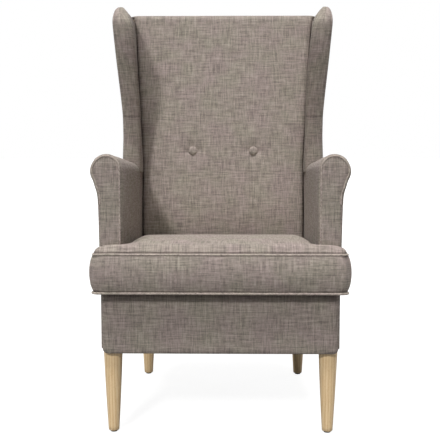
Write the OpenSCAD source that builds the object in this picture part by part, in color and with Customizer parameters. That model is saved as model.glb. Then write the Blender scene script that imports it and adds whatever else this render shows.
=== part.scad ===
// Fireside chair: beech frame on turned legs, scroll arms, wings and a loose T-shaped seat cushion.
// Millimetres. X to the right, Y to the back, Z up, origin on the floor under the middle of the chair.

/* [Overall] */
// Height of the back
chair_h = 1151; // [1080:1:1220]
// Depth, from the front of the cushion to the top of the back
chair_d = 776; // [740:1:820]

/* [Base] */
// Width of the base at the front
base_w = 594; // [570:1:620]
// Width of the base at the rear
base_rear_w = 552; // [536:1:570]
// Depth of the base
base_d = 630; // [610:1:650]
// Height of the lower edge of the base above the floor
base_bottom = 213; // [180:1:240]
// Height of the front border
border_h = 153; // [140:1:170]
// Radius of the upright front corners of the border
border_corner_r = 10; // [6:1:16]
// Fall of the seat to the rear, in degrees
seat_slope = 2; // [0:0.5:3]
// Depth from the arm fronts to the back
seat_d = 545; // [525:1:560]

/* [Arms] */
// Height of the arms at the front
arm_h = 711; // [680:1:740]
// Fall of the arms to the rear, in degrees
arm_slope = 3.3; // [1.5:0.1:3.5]
// Width over the arm scrolls at the front
arms_w = 638; // [630:1:650]
// Width over the arm scrolls at the rear
arms_rear_w = 618; // [610:1:628]
// Clear width between the arms at the front
inner_w = 486; // [476:1:492]
// Clear width between the arms at the back
inner_rear_w = 508; // [500:1:514]
// Radius of the hollow under the scroll
neck_r = 90; // [70:1:110]
// Depth of the arm cover outside, measured down from the arm top
arm_cover_drop = 125; // [118:1:135]

/* [Back] */
// Lean of the front of the back past the lean of its posts, in degrees
recline = 2.2; // [0.2:0.1:3.2]
// Height at which the back posts bend
bend_h = 400; // [380:1:430]
// Width of the inside back at the top
back_top_w = 572; // [560:1:574]
// Crown of the inside back
back_crown = 9; // [4:1:14]
// Radius of the top edge of the back
back_edge_r = 18; // [12:1:22]
// Distance between the two buttons
button_spacing = 190; // [160:1:220]
// Height of the buttons above the floor
button_h = 717; // [690:1:740]
// Diameter of a button
button_d = 29; // [24:1:32]
// Depth of the tuft under a button
tuft_depth = 9; // [5:1:12]

/* [Wings] */
// Width over the wings where they stand on the arms
wing_foot_w = 592; // [586:1:600]
// Width over the wings at the top
wing_top_w = 640; // [632:1:648]
// Clear width between the wing fronts at the arms
wing_gap_foot = 504; // [500:1:508]
// Clear width between the wing fronts at the top
wing_gap_top = 536; // [530:1:542]
// Setback of the wing foot behind the arm fronts
wing_foot_setback = 486; // [478:1:494]
// Setback of the furthest point of the wing
wing_nose_setback = 388; // [380:1:400]
// Setback of the top of the wing
wing_tip_setback = 490; // [480:1:500]
// Radius of the wing edges
wing_edge_r = 16; // [12:1:18]
// Radius of the wing top
wing_top_r = 24; // [20:1:25]

/* [Seat cushion] */
// Thickness of the cushion between its pipings
cushion_h = 100.5; // [90:0.5:110]
// Width of the cushion over its ears
cushion_w = 622; // [610:1:628]
// How far the cushion stands in front of the arms
cushion_nose = 43; // [36:1:50]
// Swell of the front and ears past the piping
cushion_swell = 10; // [6:1:12]
// Crown of the cushion top
cushion_crown = 20; // [12:1:24]
// Radius of the front corners of the cushion
cushion_front_r = 26; // [20:1:32]
// Radius of the rear corners of the cushion
cushion_rear_r = 22; // [16:1:28]
// Radius of the rear corners of the ears
ear_r = 8; // [5:1:10]
// Radius of the piping
piping_r = 2.4; // [2:0.1:3]

/* [Legs] */
// Diameter of a leg at the top
leg_top_d = 46; // [42:1:48]
// Diameter of a leg near the floor
leg_foot_d = 26; // [24:1:30]
// Distance between the front leg axes
leg_front_spacing = 538; // [530:1:539]
// Distance between the rear leg axes
leg_rear_spacing = 477; // [468:1:486]
// Setback of the front leg axes behind the arm fronts
leg_front_setback = 40; // [36:1:44]
// Setback of the rear leg axes behind the arm fronts
leg_rear_setback = 602; // [598:1:603]
// Diameter of a glide
glide_d = 18; // [14:1:20]
// Height of a glide
glide_h = 4; // [3:0.5:6]

/* [Materials] */
// Thickness of a cover with its lining
cover_t = 3; // [2:0.5:4]
// Thickness of the cushion's cloth
cloth_t = 2; // [1.5:0.1:2.5]
// Thickness of the arm pads
arm_pad_t = 6; // [4:0.5:7]
// Thickness of the frame rails
rail_t = 25; // [22:1:28]
// Height of the seat rails
rail_h = 108; // [100:1:112]
// Thickness of the wing boards
board_t = 10; // [8:0.5:12]
// Width of a back post
post_w = 34; // [30:1:36]
// Depth of a back post
post_d = 40; // [36:1:44]
// Width of a front post
stump_w = 31; // [28:1:31]
// Depth of a front post
stump_d = 50; // [46:1:56]
// Radius of the arm rail
arm_rail_r = 16; // [14:0.5:17]
// Diameter of a hanger bolt
bolt_d = 8; // [6:1:10]
// Diameter of a dowel
dowel_d = 10; // [8:1:12]
// Radius of the spring wire
wire_r = 1.9; // [1.5:0.1:2.2]
// Number of seat springs
spring_count = 4; // [3:1:5]
// Number of straps across the back
strap_count = 6; // [4:1:7]

/* [Hidden] */
$fn = 48;
LEFT = -1;
RIGHT = 1;
cloth_colour = [0.53, 0.49, 0.46];
cloth_dark_colour = [0.44, 0.41, 0.38];
piping_colour = [0.6, 0.56, 0.53];
beech_colour = [0.85, 0.7, 0.5];
ply_colour = [0.8, 0.66, 0.46];
foam_colour = [0.93, 0.9, 0.78];
steel_colour = [0.7, 0.71, 0.73];
strap_colour = [0.2, 0.2, 0.22];
lining_colour = [0.16, 0.16, 0.17];

// Clearance between soft pieces, and the overrun of cuts
clear = 0.3;
over = 2;
// Distance that reaches past the whole chair in any direction
far = chair_h + chair_d;

// Main planes, all worked out from the sizes above
cushion_front_y = -chair_d / 2 + cushion_swell;
facing_y = -chair_d / 2 + cushion_nose;
rear_y = facing_y + base_d;
seat_back_y = facing_y + seat_d;
deck_front_z = base_bottom + border_h;
frame_z = base_bottom + cover_t;
rail_top_z = frame_z + rail_h;
seat_ref_z = deck_front_z + cushion_h - (seat_d + cushion_nose) * tan(seat_slope);
rear_lean_share = (chair_d / 2 - rear_y) / (chair_h - bend_h);
rear_lean = atan(rear_lean_share);
front_lean = rear_lean + recline;

function deck_z(y) = deck_front_z - tan(seat_slope) * (y - facing_y);
function rear_line(z) = rear_y + max(0, z - bend_h) * rear_lean_share;
function post_rear(z) = rear_line(z) - cover_t - clear;
function post_front(z) = post_rear(z) - post_d;
function back_front(z) = seat_back_y + max(0, z - seat_ref_z) * tan(front_lean);
function run_share(y) = (y - facing_y) / base_d;
function side_x(y) = base_w / 2 - (base_w - base_rear_w) / 2 * run_share(y);
function scroll_x(y) = arms_w / 2 - (arms_w - arms_rear_w) / 2 * run_share(y);
function inner_x(y) = inner_w / 2 + (inner_rear_w - inner_w) / 2 * (y - facing_y) / seat_d;
function arm_top(y) = arm_h - tan(arm_slope) * (y - facing_y);
function scroll_r(y) = (scroll_x(y) - inner_x(y)) / 2;
function back_half(z) =
  let (low = arm_top(seat_back_y), s = max(0, (z - low) / (chair_h - low)))
  inner_x(seat_back_y) - clear + (back_top_w - inner_rear_w) / 2 * s;
function reverse(a) = [for (i = [len(a) - 1:-1:0]) a[i]];
function mix(a, b, s) = a + (b - a) * s;

// Closed skin through rings of points. The first and last rings are capped, or joined when looped.
function ring_faces(rings, n, looped) = [
  for (i = [0:rings - (looped ? 1 : 2)])
    for (j = [0:n - 1])
      let (a = i * n + j, b = i * n + (j + 1) % n)
      let (c = ((i + 1) % rings) * n + (j + 1) % n, d = ((i + 1) % rings) * n + j)
      each [[a, b, c], [a, c, d]]
];
function caps(rings, n) = [
  [for (j = [n - 1:-1:0]) j],
  [for (j = [0:n - 1]) (rings - 1) * n + j]
];
function side_volume(p, faces) =
  let (parts = [for (f = faces) for (k = [1:len(f) - 2]) cross(p[f[0]], p[f[k]]) * p[f[k + 1]]])
  parts * [for (v = parts) 1];

module skin(rings, looped = false) {
  n = len(rings[0]);
  points = [for (ring = rings) each ring];
  sides = ring_faces(len(rings), n, looped);
  faces = looped ? sides : concat(sides, caps(len(rings), n));
  outward = side_volume(points, faces) < 0;
  polyhedron(points, outward ? faces : [for (f = faces) reverse(f)]);
}

// A soft shape, kept as one mesh
module soft() {
  resize([0, 0, 0]) union() children();
}

// Tube round a path that lies in one plane. Sideways is the plane's normal.
function unit(v) = v / norm(v);
function tube_ring(before, at, after, sideways, r, sides) =
  let (ahead = unit(after - before), out = cross(ahead, sideways))
  [for (k = [0:sides - 1]) at + r * (cos(360 * k / sides) * out + sin(360 * k / sides) * sideways)];
function tube_rings(path, sideways, r, sides, looped) = [
  for (i = [0:len(path) - 1])
    let (last = len(path) - 1)
    let (before = i > 0 ? path[i - 1] : looped ? path[last] : path[0])
    let (after = i < last ? path[i + 1] : looped ? path[0] : path[last])
    tube_ring(before, path[i], after, sideways, r, sides)
];

module sided(side) {
  if (side == RIGHT) children();
  else mirror([1, 0, 0]) children();
}

// Plan and side shapes pushed through the whole chair
module from_side(points) {
  translate([-far / 2, 0, 0]) rotate([90, 0, 90]) linear_extrude(far) polygon(points);
}
module slice_from_side(points, x0, x1) {
  translate([x0, 0, 0]) rotate([90, 0, 90]) linear_extrude(x1 - x0) polygon(points);
}
module block(low, high) {
  translate(low) cube(high - low);
}

// Space in front of the outside back panel
module before_back_panel() {
  from_side([
    [-chair_d, 0], [post_rear(0), 0], [post_rear(bend_h), bend_h],
    [post_rear(2 * chair_h), 2 * chair_h], [-chair_d, 2 * chair_h]
  ]);
}

// The back posts and the wing boards share a plane that leans outwards with the inside back
post_out_x = leg_rear_spacing / 2 + post_w / 2 + over;
post_top_x = back_top_w / 2 + cover_t + 4 * clear;
post_lean = atan((post_top_x - post_out_x) / (chair_h - frame_z));
module leaning() {
  translate([post_out_x, 0, frame_z]) rotate([0, post_lean, 0]) translate([0, 0, -frame_z]) children();
}
module back_post_blank(grow = 0) {
  leaning() slice_from_side([
    [post_front(0) - grow, frame_z - 5 * over], [post_rear(0) + grow, frame_z - 5 * over],
    [post_rear(0) + grow, bend_h], [post_rear(top_rail_z + rail_cap) + grow, top_rail_z + rail_cap],
    [post_front(top_rail_z + rail_cap) - grow, top_rail_z + rail_cap], [post_front(0) - grow, bend_h]
  ], -post_w - grow, grow);
}
rail_cap = 55;
top_rail_z = chair_h - cover_t - clear - rail_cap;

// Dowels, as pieces and as the holes that hold them
dowel_l = 56;
dowel_rows = [0.3, 0.72];
module dowels(grow = 0) {
  r = dowel_d / 2 + grow;
  l = dowel_l + 2 * grow;
  for (side = [LEFT, RIGHT]) sided(side) {
    for (share = dowel_rows) {
      z = frame_z + rail_h * share;
      translate([stump_x0, stump_y0 + rail_t / 2, z]) rotate([0, 90, 0]) cylinder(l, r, r, center = true);
      translate([post_out_x - post_w, rear_rail_y + rail_t / 2, z]) rotate([0, 90, 0])
        cylinder(l, r, r, center = true);
    }
    translate([top_dowel_x, (post_front(top_rail_z) + post_rear(top_rail_z)) / 2, top_rail_z + rail_cap / 2])
      rotate([0, 90, 0]) cylinder(l, r, r, center = true);
  }
}
top_dowel_x = post_out_x - post_w + (top_rail_z - frame_z) * tan(post_lean);

// Seat frame
stump_gap = 11;
stump_x0 = inner_w / 2 + stump_gap;
stump_y0 = facing_y + stump_gap;
rear_rail_y = post_rear(0) - rail_t;
side_gap = cover_t + over;

module front_rail() color(beech_colour) difference() {
  block([-stump_x0, stump_y0, frame_z], [stump_x0, stump_y0 + rail_t, rail_top_z]);
  dowels();
}
module rear_rail() color(beech_colour) difference() {
  block([-post_out_x, rear_rail_y, frame_z], [post_out_x, post_rear(0), rear_rail_top]);
  for (side = [LEFT, RIGHT]) sided(side) back_post_blank();
  dowels();
}
rear_rail_top = rail_top_z - (rear_rail_y - stump_y0) * tan(seat_slope);

module side_rail_blank() {
  y0 = stump_y0 + stump_d;
  y1 = post_front(0);
  difference() {
    translate([0, 0, frame_z]) linear_extrude(rail_h) polygon([
      [side_x(y0) - side_gap, y0], [side_x(y1) - side_gap, y1],
      [side_x(y1) - side_gap - rail_t, y1], [side_x(y0) - side_gap - rail_t, y0]
    ]);
    from_side([
      [y0 - over, rail_top_z], [y1 + over, rail_top_z - (y1 - y0) * tan(seat_slope)],
      [y1 + over, rail_top_z + rail_h], [y0 - over, rail_top_z + rail_h]
    ]);
  }
}
module side_rail(side) color(beech_colour) sided(side) side_rail_blank();

// Front post with the hole for the hanger bolt in its lower end
module bolt_hole(at) translate([at[0], at[1], frame_z - over]) {
  cylinder(bolt_up + 2 * over, bolt_d / 2 + clear, bolt_d / 2 + clear);
  cylinder(nut_l + over, nut_r, nut_r);
  cylinder(flange_t + over, flange_r, flange_r);
}
bolt_up = 32;
bolt_down = 38;
nut_l = 14;
nut_r = 5.5;
flange_t = 1.5;
flange_r = 11;
leg_places = [
  [leg_front_spacing / 2, facing_y + leg_front_setback],
  [leg_rear_spacing / 2, facing_y + leg_rear_setback]
];
rail_flat = 13;
stump_top_z = arm_top(stump_y0) - scroll_r(stump_y0) - rail_flat;
module front_post(side) color(beech_colour) sided(side) difference() {
  block([stump_x0, stump_y0, frame_z], [stump_x0 + stump_w, stump_y0 + stump_d, stump_top_z]);
  arm_rail_blank(true);
  bolt_hole(leg_places[0]);
  dowels();
}

module back_post(side) color(beech_colour) sided(side) difference() {
  back_post_blank();
  block([-far, -far, frame_z - far], [far, far, frame_z]);
  bolt_hole(leg_places[1]);
  dowels();
  wing_screw_set();
}

// Rails between the back posts, leaning with them
module back_rail_blank(z0, z1) {
  from_side([
    [post_rear(z0) - rail_t, z0], [post_rear(z0), z0], [post_rear(z1), z1], [post_rear(z1) - rail_t, z1]
  ]);
}
module between_posts() {
  difference() {
    intersection() {
      children();
      block([-back_top_w / 2, -chair_d, 0], [back_top_w / 2, chair_d, chair_h]);
    }
    for (side = [LEFT, RIGHT]) sided(side) beyond_post();
  }
}
module beyond_post() {
  leaning() block([-post_w, -chair_d, 0], [far, chair_d, 2 * chair_h]);
}
module top_rail() color(beech_colour) difference() {
  between_posts() back_rail_blank(top_rail_z, top_rail_z + rail_cap);
  dowels();
}
lumbar_z = rail_top_z + 3 * rail_t;
module lumbar_rail() color(beech_colour) between_posts() back_rail_blank(lumbar_z, lumbar_z + 2 * rail_t);

// Rounded rail inside the arm scroll, flat below where it lies on the front post
module arm_rail_blank(long = false) {
  y0 = long ? facing_y - over : stump_y0;
  y1 = long ? rear_line(arm_h) + post_d : rear_line(arm_h) - cover_t - post_d / 3;
  run = y1 - y0;
  cx = function (y) inner_x(y) + scroll_r(y);
  cz = function (y) arm_top(y) - scroll_r(y);
  turn = atan((cx(y1) - cx(y0)) / run);
  fall = atan((cz(y1) - cz(y0)) / run);
  translate([cx(y0), y0, cz(y0)]) rotate([fall, 0, -turn]) rotate([-90, 0, 0]) difference() {
    cylinder(run / cos(turn) / cos(fall), arm_rail_r, arm_rail_r);
    translate([-arm_rail_r - over, rail_flat, -over]) cube([3 * arm_rail_r, arm_rail_r, far]);
    translate([-arm_rail_r - over, -rail_flat - arm_rail_r, -over]) cube([3 * arm_rail_r, arm_rail_r, far]);
  }
}
module arm_rail(side) color(beech_colour) sided(side) difference() {
  intersection() {
    arm_rail_blank();
    before_back_panel();
  }
  back_post_blank();
}

// Wing outline from the side. The nose stands furthest forward at nose_share of the height.
nose_share = 0.86;
function wing_nose(z) = let (
    low = arm_top(seat_back_y),
    s = max(0, min(1, (z - low) / (chair_h - low))),
    up = s < nose_share ? s / nose_share : 1 - (s - nose_share) / (1 - nose_share),
    end_y = facing_y + (s < nose_share ? wing_foot_setback : wing_tip_setback),
    rise = (1 - cos(180 * min(1, up))) / 2
  )
  mix(end_y, facing_y + wing_nose_setback, s < nose_share ? pow(rise, 1.5) : pow(rise, 0.45));
wing_levels = 14;
wing_z0 = arm_h - 2 * neck_r / 3;
wing_z1 = chair_h - wing_top_r;
wing_heights = concat(
  [for (i = [0:wing_levels]) mix(wing_z0, wing_z1, i / wing_levels)],
  [for (a = [25, 50, 70, 85]) wing_z1 + wing_top_r * sin(a)]
);
function top_inset(z) = let (h = max(0, z - wing_z1) / wing_top_r) wing_top_r * (1 - sqrt(max(0, 1 - h * h)));
function wing_s(z) = max(0, (z - arm_top(seat_back_y)) / (chair_h - arm_top(seat_back_y)));

// One level of the wing, round its inside face, front band and outside face, which draws in to the rear
rear_draw = 6;
function wing_ring(z, inset, rear_over) = let (
    i = inset + min(wing_top_r - over - inset, top_inset(z)),
    zz = z - inset * (z > wing_z1 ? 1 : 0),
    s = wing_s(z),
    y0 = wing_nose(z) + i,
    y2 = post_rear(zz) + rear_over,
    x_in = mix(wing_gap_foot, wing_gap_top, s) / 2 + i,
    x_out = mix(wing_foot_w, wing_top_w, s) / 2 - i,
    x_rear = x_out - rear_draw,
    x_back = min(back_half(z) + clear + inset, x_rear - over),
    r = min(wing_edge_r - inset / 2, (x_out - x_in) / 2)
  )
  concat(
    [[x_back, y2, zz], [x_back, max(y0 + 2 * r, back_front(z)), zz]],
    [for (a = [180:30:270]) [x_in + r + r * cos(a), y0 + r + r * sin(a), zz]],
    [for (a = [270:30:360]) [x_out - r + r * cos(a), y0 + r + r * sin(a), zz]],
    [[x_rear, y2, zz]]
  );
module wing_form(inset, rear_over = 0) {
  skin([for (z = wing_heights) wing_ring(z, inset, rear_over)]);
}

module wing_board_blank(grow) {
  heights = [for (i = [0:12]) mix(wing_z0, wing_z1 - board_inset / 2, i / 12)];
  leaning() slice_from_side(concat(
    [for (z = heights) [wing_nose(z) + board_inset - grow, z]],
    [[wing_nose(wing_z1) + 3 * board_inset, wing_z1 + grow]],
    [for (z = [wing_z1, wing_z0]) [post_rear(z) - over + grow, z + (z > wing_z0 ? grow : -grow)]]
  ), -grow, board_t + grow);
}
board_inset = 16;
module wing_board(side) color(ply_colour) sided(side) difference() {
  wing_board_blank(0);
  arm_rail_blank(true);
  wing_screw_set();
}

// Screws that hold a wing board to its back post
screw_l = 28;
screw_r = 2.2;
screw_head_r = 4.2;
module wing_screw_set(grow = 0) {
  leaning() for (share = [0.2, 0.5, 0.8]) {
    z = mix(arm_h, wing_z1, share);
    translate([board_t, (post_front(z) + post_rear(z)) / 2, z]) rotate([0, -90, 0]) {
      cylinder(screw_l, screw_r, screw_r);
      cylinder(over, screw_head_r, screw_head_r);
    }
  }
}
module wing_screws() color(steel_colour) for (side = [LEFT, RIGHT]) sided(side) wing_screw_set();

module frame_dowels() color(ply_colour) dowels();

// Braces in the corners of the seat frame
brace = 70;
module corner_blocks() color(beech_colour) for (side = [LEFT, RIGHT]) sided(side) {
  y_front = stump_y0 + rail_t;
  y_stump = stump_y0 + stump_d;
  x_side = side_x(y_stump) - side_gap - rail_t;
  difference() {
    translate([0, 0, frame_z + rail_t]) linear_extrude(rail_h / 2) polygon([
      [stump_x0 - brace, y_front], [stump_x0, y_front], [stump_x0, y_stump],
      [x_side + over, y_stump], [x_side + over, y_stump + brace / 2]
    ]);
    side_rail_blank();
  }
  y_post = post_front(0);
  x_rear = side_x(y_post) - side_gap - rail_t;
  difference() {
    translate([0, 0, frame_z + rail_t]) linear_extrude(rail_h / 2) polygon([
      [x_rear + over, y_post - brace / 2], [x_rear + over, y_post], [post_out_x - post_w / 2, y_post],
      [post_out_x - post_w / 2, rear_rail_y], [post_out_x - post_w - brace, rear_rail_y]
    ]);
    side_rail_blank();
    back_post_blank(clear);
  }
}

// Turned legs with a round foot, the bolt that holds each, its tee nut and its glide
leg_z0 = glide_h;
module leg(place, side) color(beech_colour) sided(side) translate([place[0], place[1], 0]) difference() {
  rotate_extrude() polygon([
    [0, leg_z0], [leg_foot_d / 2 - 4 * over / 2, leg_z0],
    [leg_foot_d / 2 - over / 2, leg_z0 + over], [leg_foot_d / 2, leg_z0 + 2 * over],
    [leg_foot_d / 2, leg_z0 + 4 * over], [leg_top_d / 2, frame_z], [0, frame_z]
  ]);
  translate([0, 0, frame_z - bolt_down]) cylinder(bolt_down + over, bolt_d / 2, bolt_d / 2);
  translate([0, 0, leg_z0 - over]) cylinder(glide_pin_l + over, glide_pin_r, glide_pin_r);
}
glide_pin_l = 12;
glide_pin_r = 1.5;
module each_leg() {
  for (side = [LEFT, RIGHT], place = leg_places) sided(side) translate([place[0], place[1], 0]) children();
}
module hanger_bolts() color(steel_colour) each_leg()
  translate([0, 0, frame_z - bolt_down]) cylinder(bolt_down + bolt_up, bolt_d / 2, bolt_d / 2);
module tee_nuts() color(steel_colour) each_leg() translate([0, 0, frame_z]) difference() {
  union() {
    cylinder(nut_l, nut_r, nut_r);
    cylinder(flange_t, flange_r, flange_r);
  }
  translate([0, 0, -over]) cylinder(nut_l + 2 * over, bolt_d / 2, bolt_d / 2);
}
module glides() color(lining_colour) each_leg() {
  rotate_extrude() polygon([
    [0, 0], [glide_d / 2 - glide_h / 4, 0], [glide_d / 2, glide_h / 4], [glide_d / 2, leg_z0], [0, leg_z0]
  ]);
  translate([0, 0, leg_z0 / 2]) cylinder(glide_pin_l + leg_z0 / 2, glide_pin_r, glide_pin_r);
}

// Zigzag springs from the front rail to the rear rail, each one wire
spring_half_w = 24;
spring_bars = 15;
clip_w = 20;
clip_l = 12;
clip_h = 8;
spring_y0 = stump_y0 + rail_t / 2;
spring_y1 = rear_rail_y + rail_t / 2;
spring_pitch = (spring_y1 - spring_y0) / (spring_bars - 1);
spring_z0 = rail_top_z + clip_h / 2;
spring_fall = (rail_top_z - rear_rail_top) / (spring_y1 - spring_y0);
bar_points = [[-1, 0, 0], [1, 0, 0]];
turn_points = [[1, 0.3, 0.35], [1, 0.7, 0.35]];
function spring_path(x) = [
  for (k = [0:spring_bars - 1])
    let (way = k % 2 == 0 ? 1 : -1, y = spring_y0 + k * spring_pitch)
    for (p = k < spring_bars - 1 ? concat(bar_points, turn_points) : bar_points)
      let (py = y + p[1] * spring_pitch, px = way * (p[0] * spring_half_w + p[2] * spring_pitch))
      [x + px, py, spring_z0 - (py - spring_y0) * spring_fall]
];
spring_spacing = inner_w / spring_count;
spring_places = [for (i = [0:spring_count - 1]) (i - (spring_count - 1) / 2) * spring_spacing];
module seat_springs() color(steel_colour) for (x = spring_places)
  skin(tube_rings(spring_path(x), [0, 0, 1], wire_r, 6, false));
module spring_clips() color(steel_colour) for (x = spring_places) for (end = [0, 1]) {
  y = end == 0 ? spring_y0 : spring_y1;
  z = end == 0 ? rail_top_z : rear_rail_top;
  difference() {
    block([x - clip_w / 2, y - clip_l / 2, z], [x + clip_w / 2, y + clip_l / 2, z + clip_h]);
    translate([x, y, z + clip_h / 2]) rotate([0, 90, 0])
      cylinder(2 * clip_w, wire_r + clear, wire_r + clear, center = true);
  }
}

// Elastic straps across the back posts, one of them behind the buttons
strap_w = 50;
strap_t = 2;
strap_z0 = lumbar_z + 3 * strap_w;
strap_pitch = (top_rail_z - strap_z0 - strap_w / 2) / (strap_count - 1);
button_strap = round((button_h - strap_z0) / strap_pitch);
module on_posts(z) {
  translate([0, post_front(z) - clear, z]) rotate([-rear_lean, 0, 0]) children();
}
module back_webbing() color(strap_colour) difference() {
  for (i = [0:strap_count - 1]) {
    z = i == button_strap ? button_h : strap_z0 + i * strap_pitch;
    half = back_half(z) - over;
    on_posts(z) translate([-half, -strap_t, -strap_w / 2]) cube([2 * half, strap_t, strap_w]);
  }
  tie_holes(tie_r + clear);
}

// Covered buttons, and the ties that pull them into the foam
tie_r = 0.8;
toggle_r = 6;
button_dome_h = 8;
button_y = back_front(button_h) - back_crown * crown_share(button_h, button_spacing / 2) + tuft_depth;
module at_buttons() {
  for (side = [LEFT, RIGHT])
    translate([side * button_spacing / 2, button_y, button_h]) rotate([90 - front_lean, 0, 0]) children();
}
tie_l = (post_front(button_h) - button_y) / cos(front_lean);
module tie_holes(r) {
  at_buttons() translate([0, 0, -tie_l - 4 * over]) cylinder(tie_l + 8 * over, r, r);
}
module back_buttons() color(cloth_colour) at_buttons() translate([0, 0, clear]) rotate_extrude()
  polygon(concat(
    [[0, 0], [button_d / 2 - over / 2, 0]],
    [for (a = [0:15:90]) [button_d / 2 * cos(a), over / 2 + (button_dome_h - over / 2) * sin(a)]]
  ));
module button_ties() color(piping_colour) at_buttons() {
  translate([0, 0, -tie_l - 2 * strap_t]) cylinder(tie_l + 2 * strap_t + clear, tie_r, tie_r);
  translate([0, 0, -tie_l - 2 * strap_t]) cylinder(strap_t, toggle_r, toggle_r);
}

// Deck under the cushion
deck_half = inner_w / 2 - over;
pad_top_drop = clear + cloth_t + clear;
module deck_pad() color(foam_colour) slice_from_side([
  [stump_y0, deck_z(stump_y0) - pad_top_drop], [seat_back_y - cover_t, deck_z(seat_back_y) - pad_top_drop],
  [seat_back_y - cover_t, spring_top(seat_back_y)], [stump_y0, spring_top(stump_y0)]
], -deck_half, deck_half);
function spring_top(y) = spring_z0 - (y - spring_y0) * spring_fall + clip_h / 2 + clear;
module deck_cover() color(cloth_dark_colour) {
  y0 = facing_y + cover_t + clear;
  y1 = seat_back_y - cover_t;
  z0 = deck_z(y0) - clear;
  z1 = deck_z(y1) - clear;
  slice_from_side([[y0, z0], [y1, z1], [y1, z1 - cloth_t], [y0, z0 - cloth_t]], -deck_half, deck_half);
}

// Border round the front of the base, with short returns along the sides
return_l = 14;
function border_plan(inset) = let (
    x = base_w / 2 - inset,
    y = facing_y + inset,
    r = border_corner_r - inset
  )
  concat(
    [[-side_x(facing_y + return_l) + inset, facing_y + return_l]],
    [for (a = [180:15:270]) [-x + r + r * cos(a), y + r + r * sin(a)]],
    [for (a = [270:15:360]) [x - r + r * cos(a), y + r + r * sin(a)]],
    [[side_x(facing_y + return_l) - inset, facing_y + return_l]]
  );
module front_border() color(cloth_colour) translate([0, 0, base_bottom]) linear_extrude(border_h)
  polygon(concat(border_plan(0), reverse(border_plan(cover_t))));

// Outside arm panels, from the hollow under the scroll to the lower edge of the base
module side_panel(side) color(cloth_dark_colour) sided(side) intersection() {
  y0 = facing_y + return_l + clear;
  y_up = facing_y + piping_r * 2 + clear;
  y1 = rear_y - cover_t - clear;
  top = arm_cover_drop + clear;
  translate([0, 0, base_bottom]) linear_extrude(chair_h) polygon([
    [side_x(facing_y), facing_y], [side_x(y1), y1],
    [side_x(y1) - cover_t, y1], [side_x(facing_y) - cover_t, facing_y]
  ]);
  from_side([
    [y0, base_bottom], [y1, base_bottom], [y1, arm_top(y1) - top], [y_up, arm_top(y_up) - top],
    [y_up, deck_front_z + clear], [y0, deck_front_z + clear]
  ]);
}

dust_t = 1;
module dust_cover() color(lining_colour) difference() {
  translate([0, 0, base_bottom]) linear_extrude(dust_t) polygon([
    [-side_x(stump_y0) + side_gap, stump_y0], [side_x(stump_y0) - side_gap, stump_y0],
    [side_x(rear_rail_y) - side_gap, rear_y - side_gap], [-side_x(rear_rail_y) + side_gap, rear_y - side_gap]
  ]);
  each_leg() translate([0, 0, base_bottom - over])
    cylinder(2 * over + dust_t, leg_top_d / 2 + clear, leg_top_d / 2 + clear);
}

// Section of an arm: up the inside, over the scroll and down to the hollow outside
scroll_n = 12;
neck_n = 4;
function arm_line(y, inset, foot_z) = let (
    r = scroll_r(y),
    cx = inner_x(y) + r,
    cz = arm_top(y) - r,
    nx = side_x(y) + neck_r,
    nz = cz - sqrt(pow(r + neck_r, 2) - pow(nx - cx, 2)),
    a = atan2(nz - cz, nx - cx)
  )
  concat(
    [[inner_x(y) + inset, foot_z]],
    [for (i = [0:scroll_n]) let (t = mix(180, a, i / scroll_n))
      [cx + (r - inset) * cos(t), cz + (r - inset) * sin(t)]],
    [for (i = [1:neck_n]) let (t = mix(a + 180, 180, i / neck_n))
      [nx + (neck_r + inset) * cos(t), nz + (neck_r + inset) * sin(t)]],
    [[side_x(y) - inset, arm_top(y) - arm_cover_drop]]
  );
function stand(line, y) = [for (p = line) [p[0], y, p[1]]];
arm_foot_z = deck_z(seat_back_y) - 4 * over;
arm_stations = [for (s = [0, 0.25, 0.5, 0.75, 1.2]) mix(facing_y + 2 * piping_r, rear_y, s)];
module arm_shell(outer, inner) {
  soft() difference() {
    intersection() {
      skin([for (y = arm_stations)
        stand(concat(arm_line(y, outer, arm_foot_z), reverse(arm_line(y, inner, arm_foot_z))), y)]);
      before_back_panel();
    }
    back_post_blank(clear);
    wing_board_blank(clear);
  }
}
module arm_solid(grow) {
  skin([for (y = arm_stations) stand(arm_line(y, -grow, arm_foot_z), y)]);
}
module arm_cover(side) color(cloth_colour) sided(side) arm_shell(0, cover_t);
module arm_pad(side) color(foam_colour) sided(side) arm_shell(cover_t + clear, cover_t + clear + arm_pad_t);

// Flat facing on the front of an arm, and the piping sewn round it
facing_inset = 2 * piping_r + clear;
facing_foot_z = deck_front_z + clear;
module arm_facing(side) color(cloth_colour) sided(side)
  translate([0, facing_y + 2 * piping_r - clear, 0]) rotate([90, 0, 0]) linear_extrude(cover_t)
    polygon(concat(
      arm_line(facing_y, facing_inset, facing_foot_z), [[side_x(facing_y) - facing_inset, facing_foot_z]]
    ));
module arm_piping(side) color(piping_colour) sided(side) {
  line = arm_line(facing_y, piping_r, facing_foot_z);
  foot = [side_x(facing_y) - piping_r, facing_y + piping_r, facing_foot_z];
  path = concat(stand(line, facing_y + piping_r), [foot]);
  skin(tube_rings(path, [0, 1, 0], piping_r, 8, false));
}

// Wings: padded boards that stand on the arms
module wing_cover(side) color(cloth_colour) sided(side) soft() difference() {
  wing_form(0);
  wing_form(cover_t, far / 9);
  arm_solid(clear);
  back_post_blank(clear);
}
module wing_pad(side) color(foam_colour) sided(side) soft() difference() {
  wing_form(cover_t + clear);
  arm_solid(clear);
  wing_board_blank(clear);
  back_post_blank(clear);
}

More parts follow.
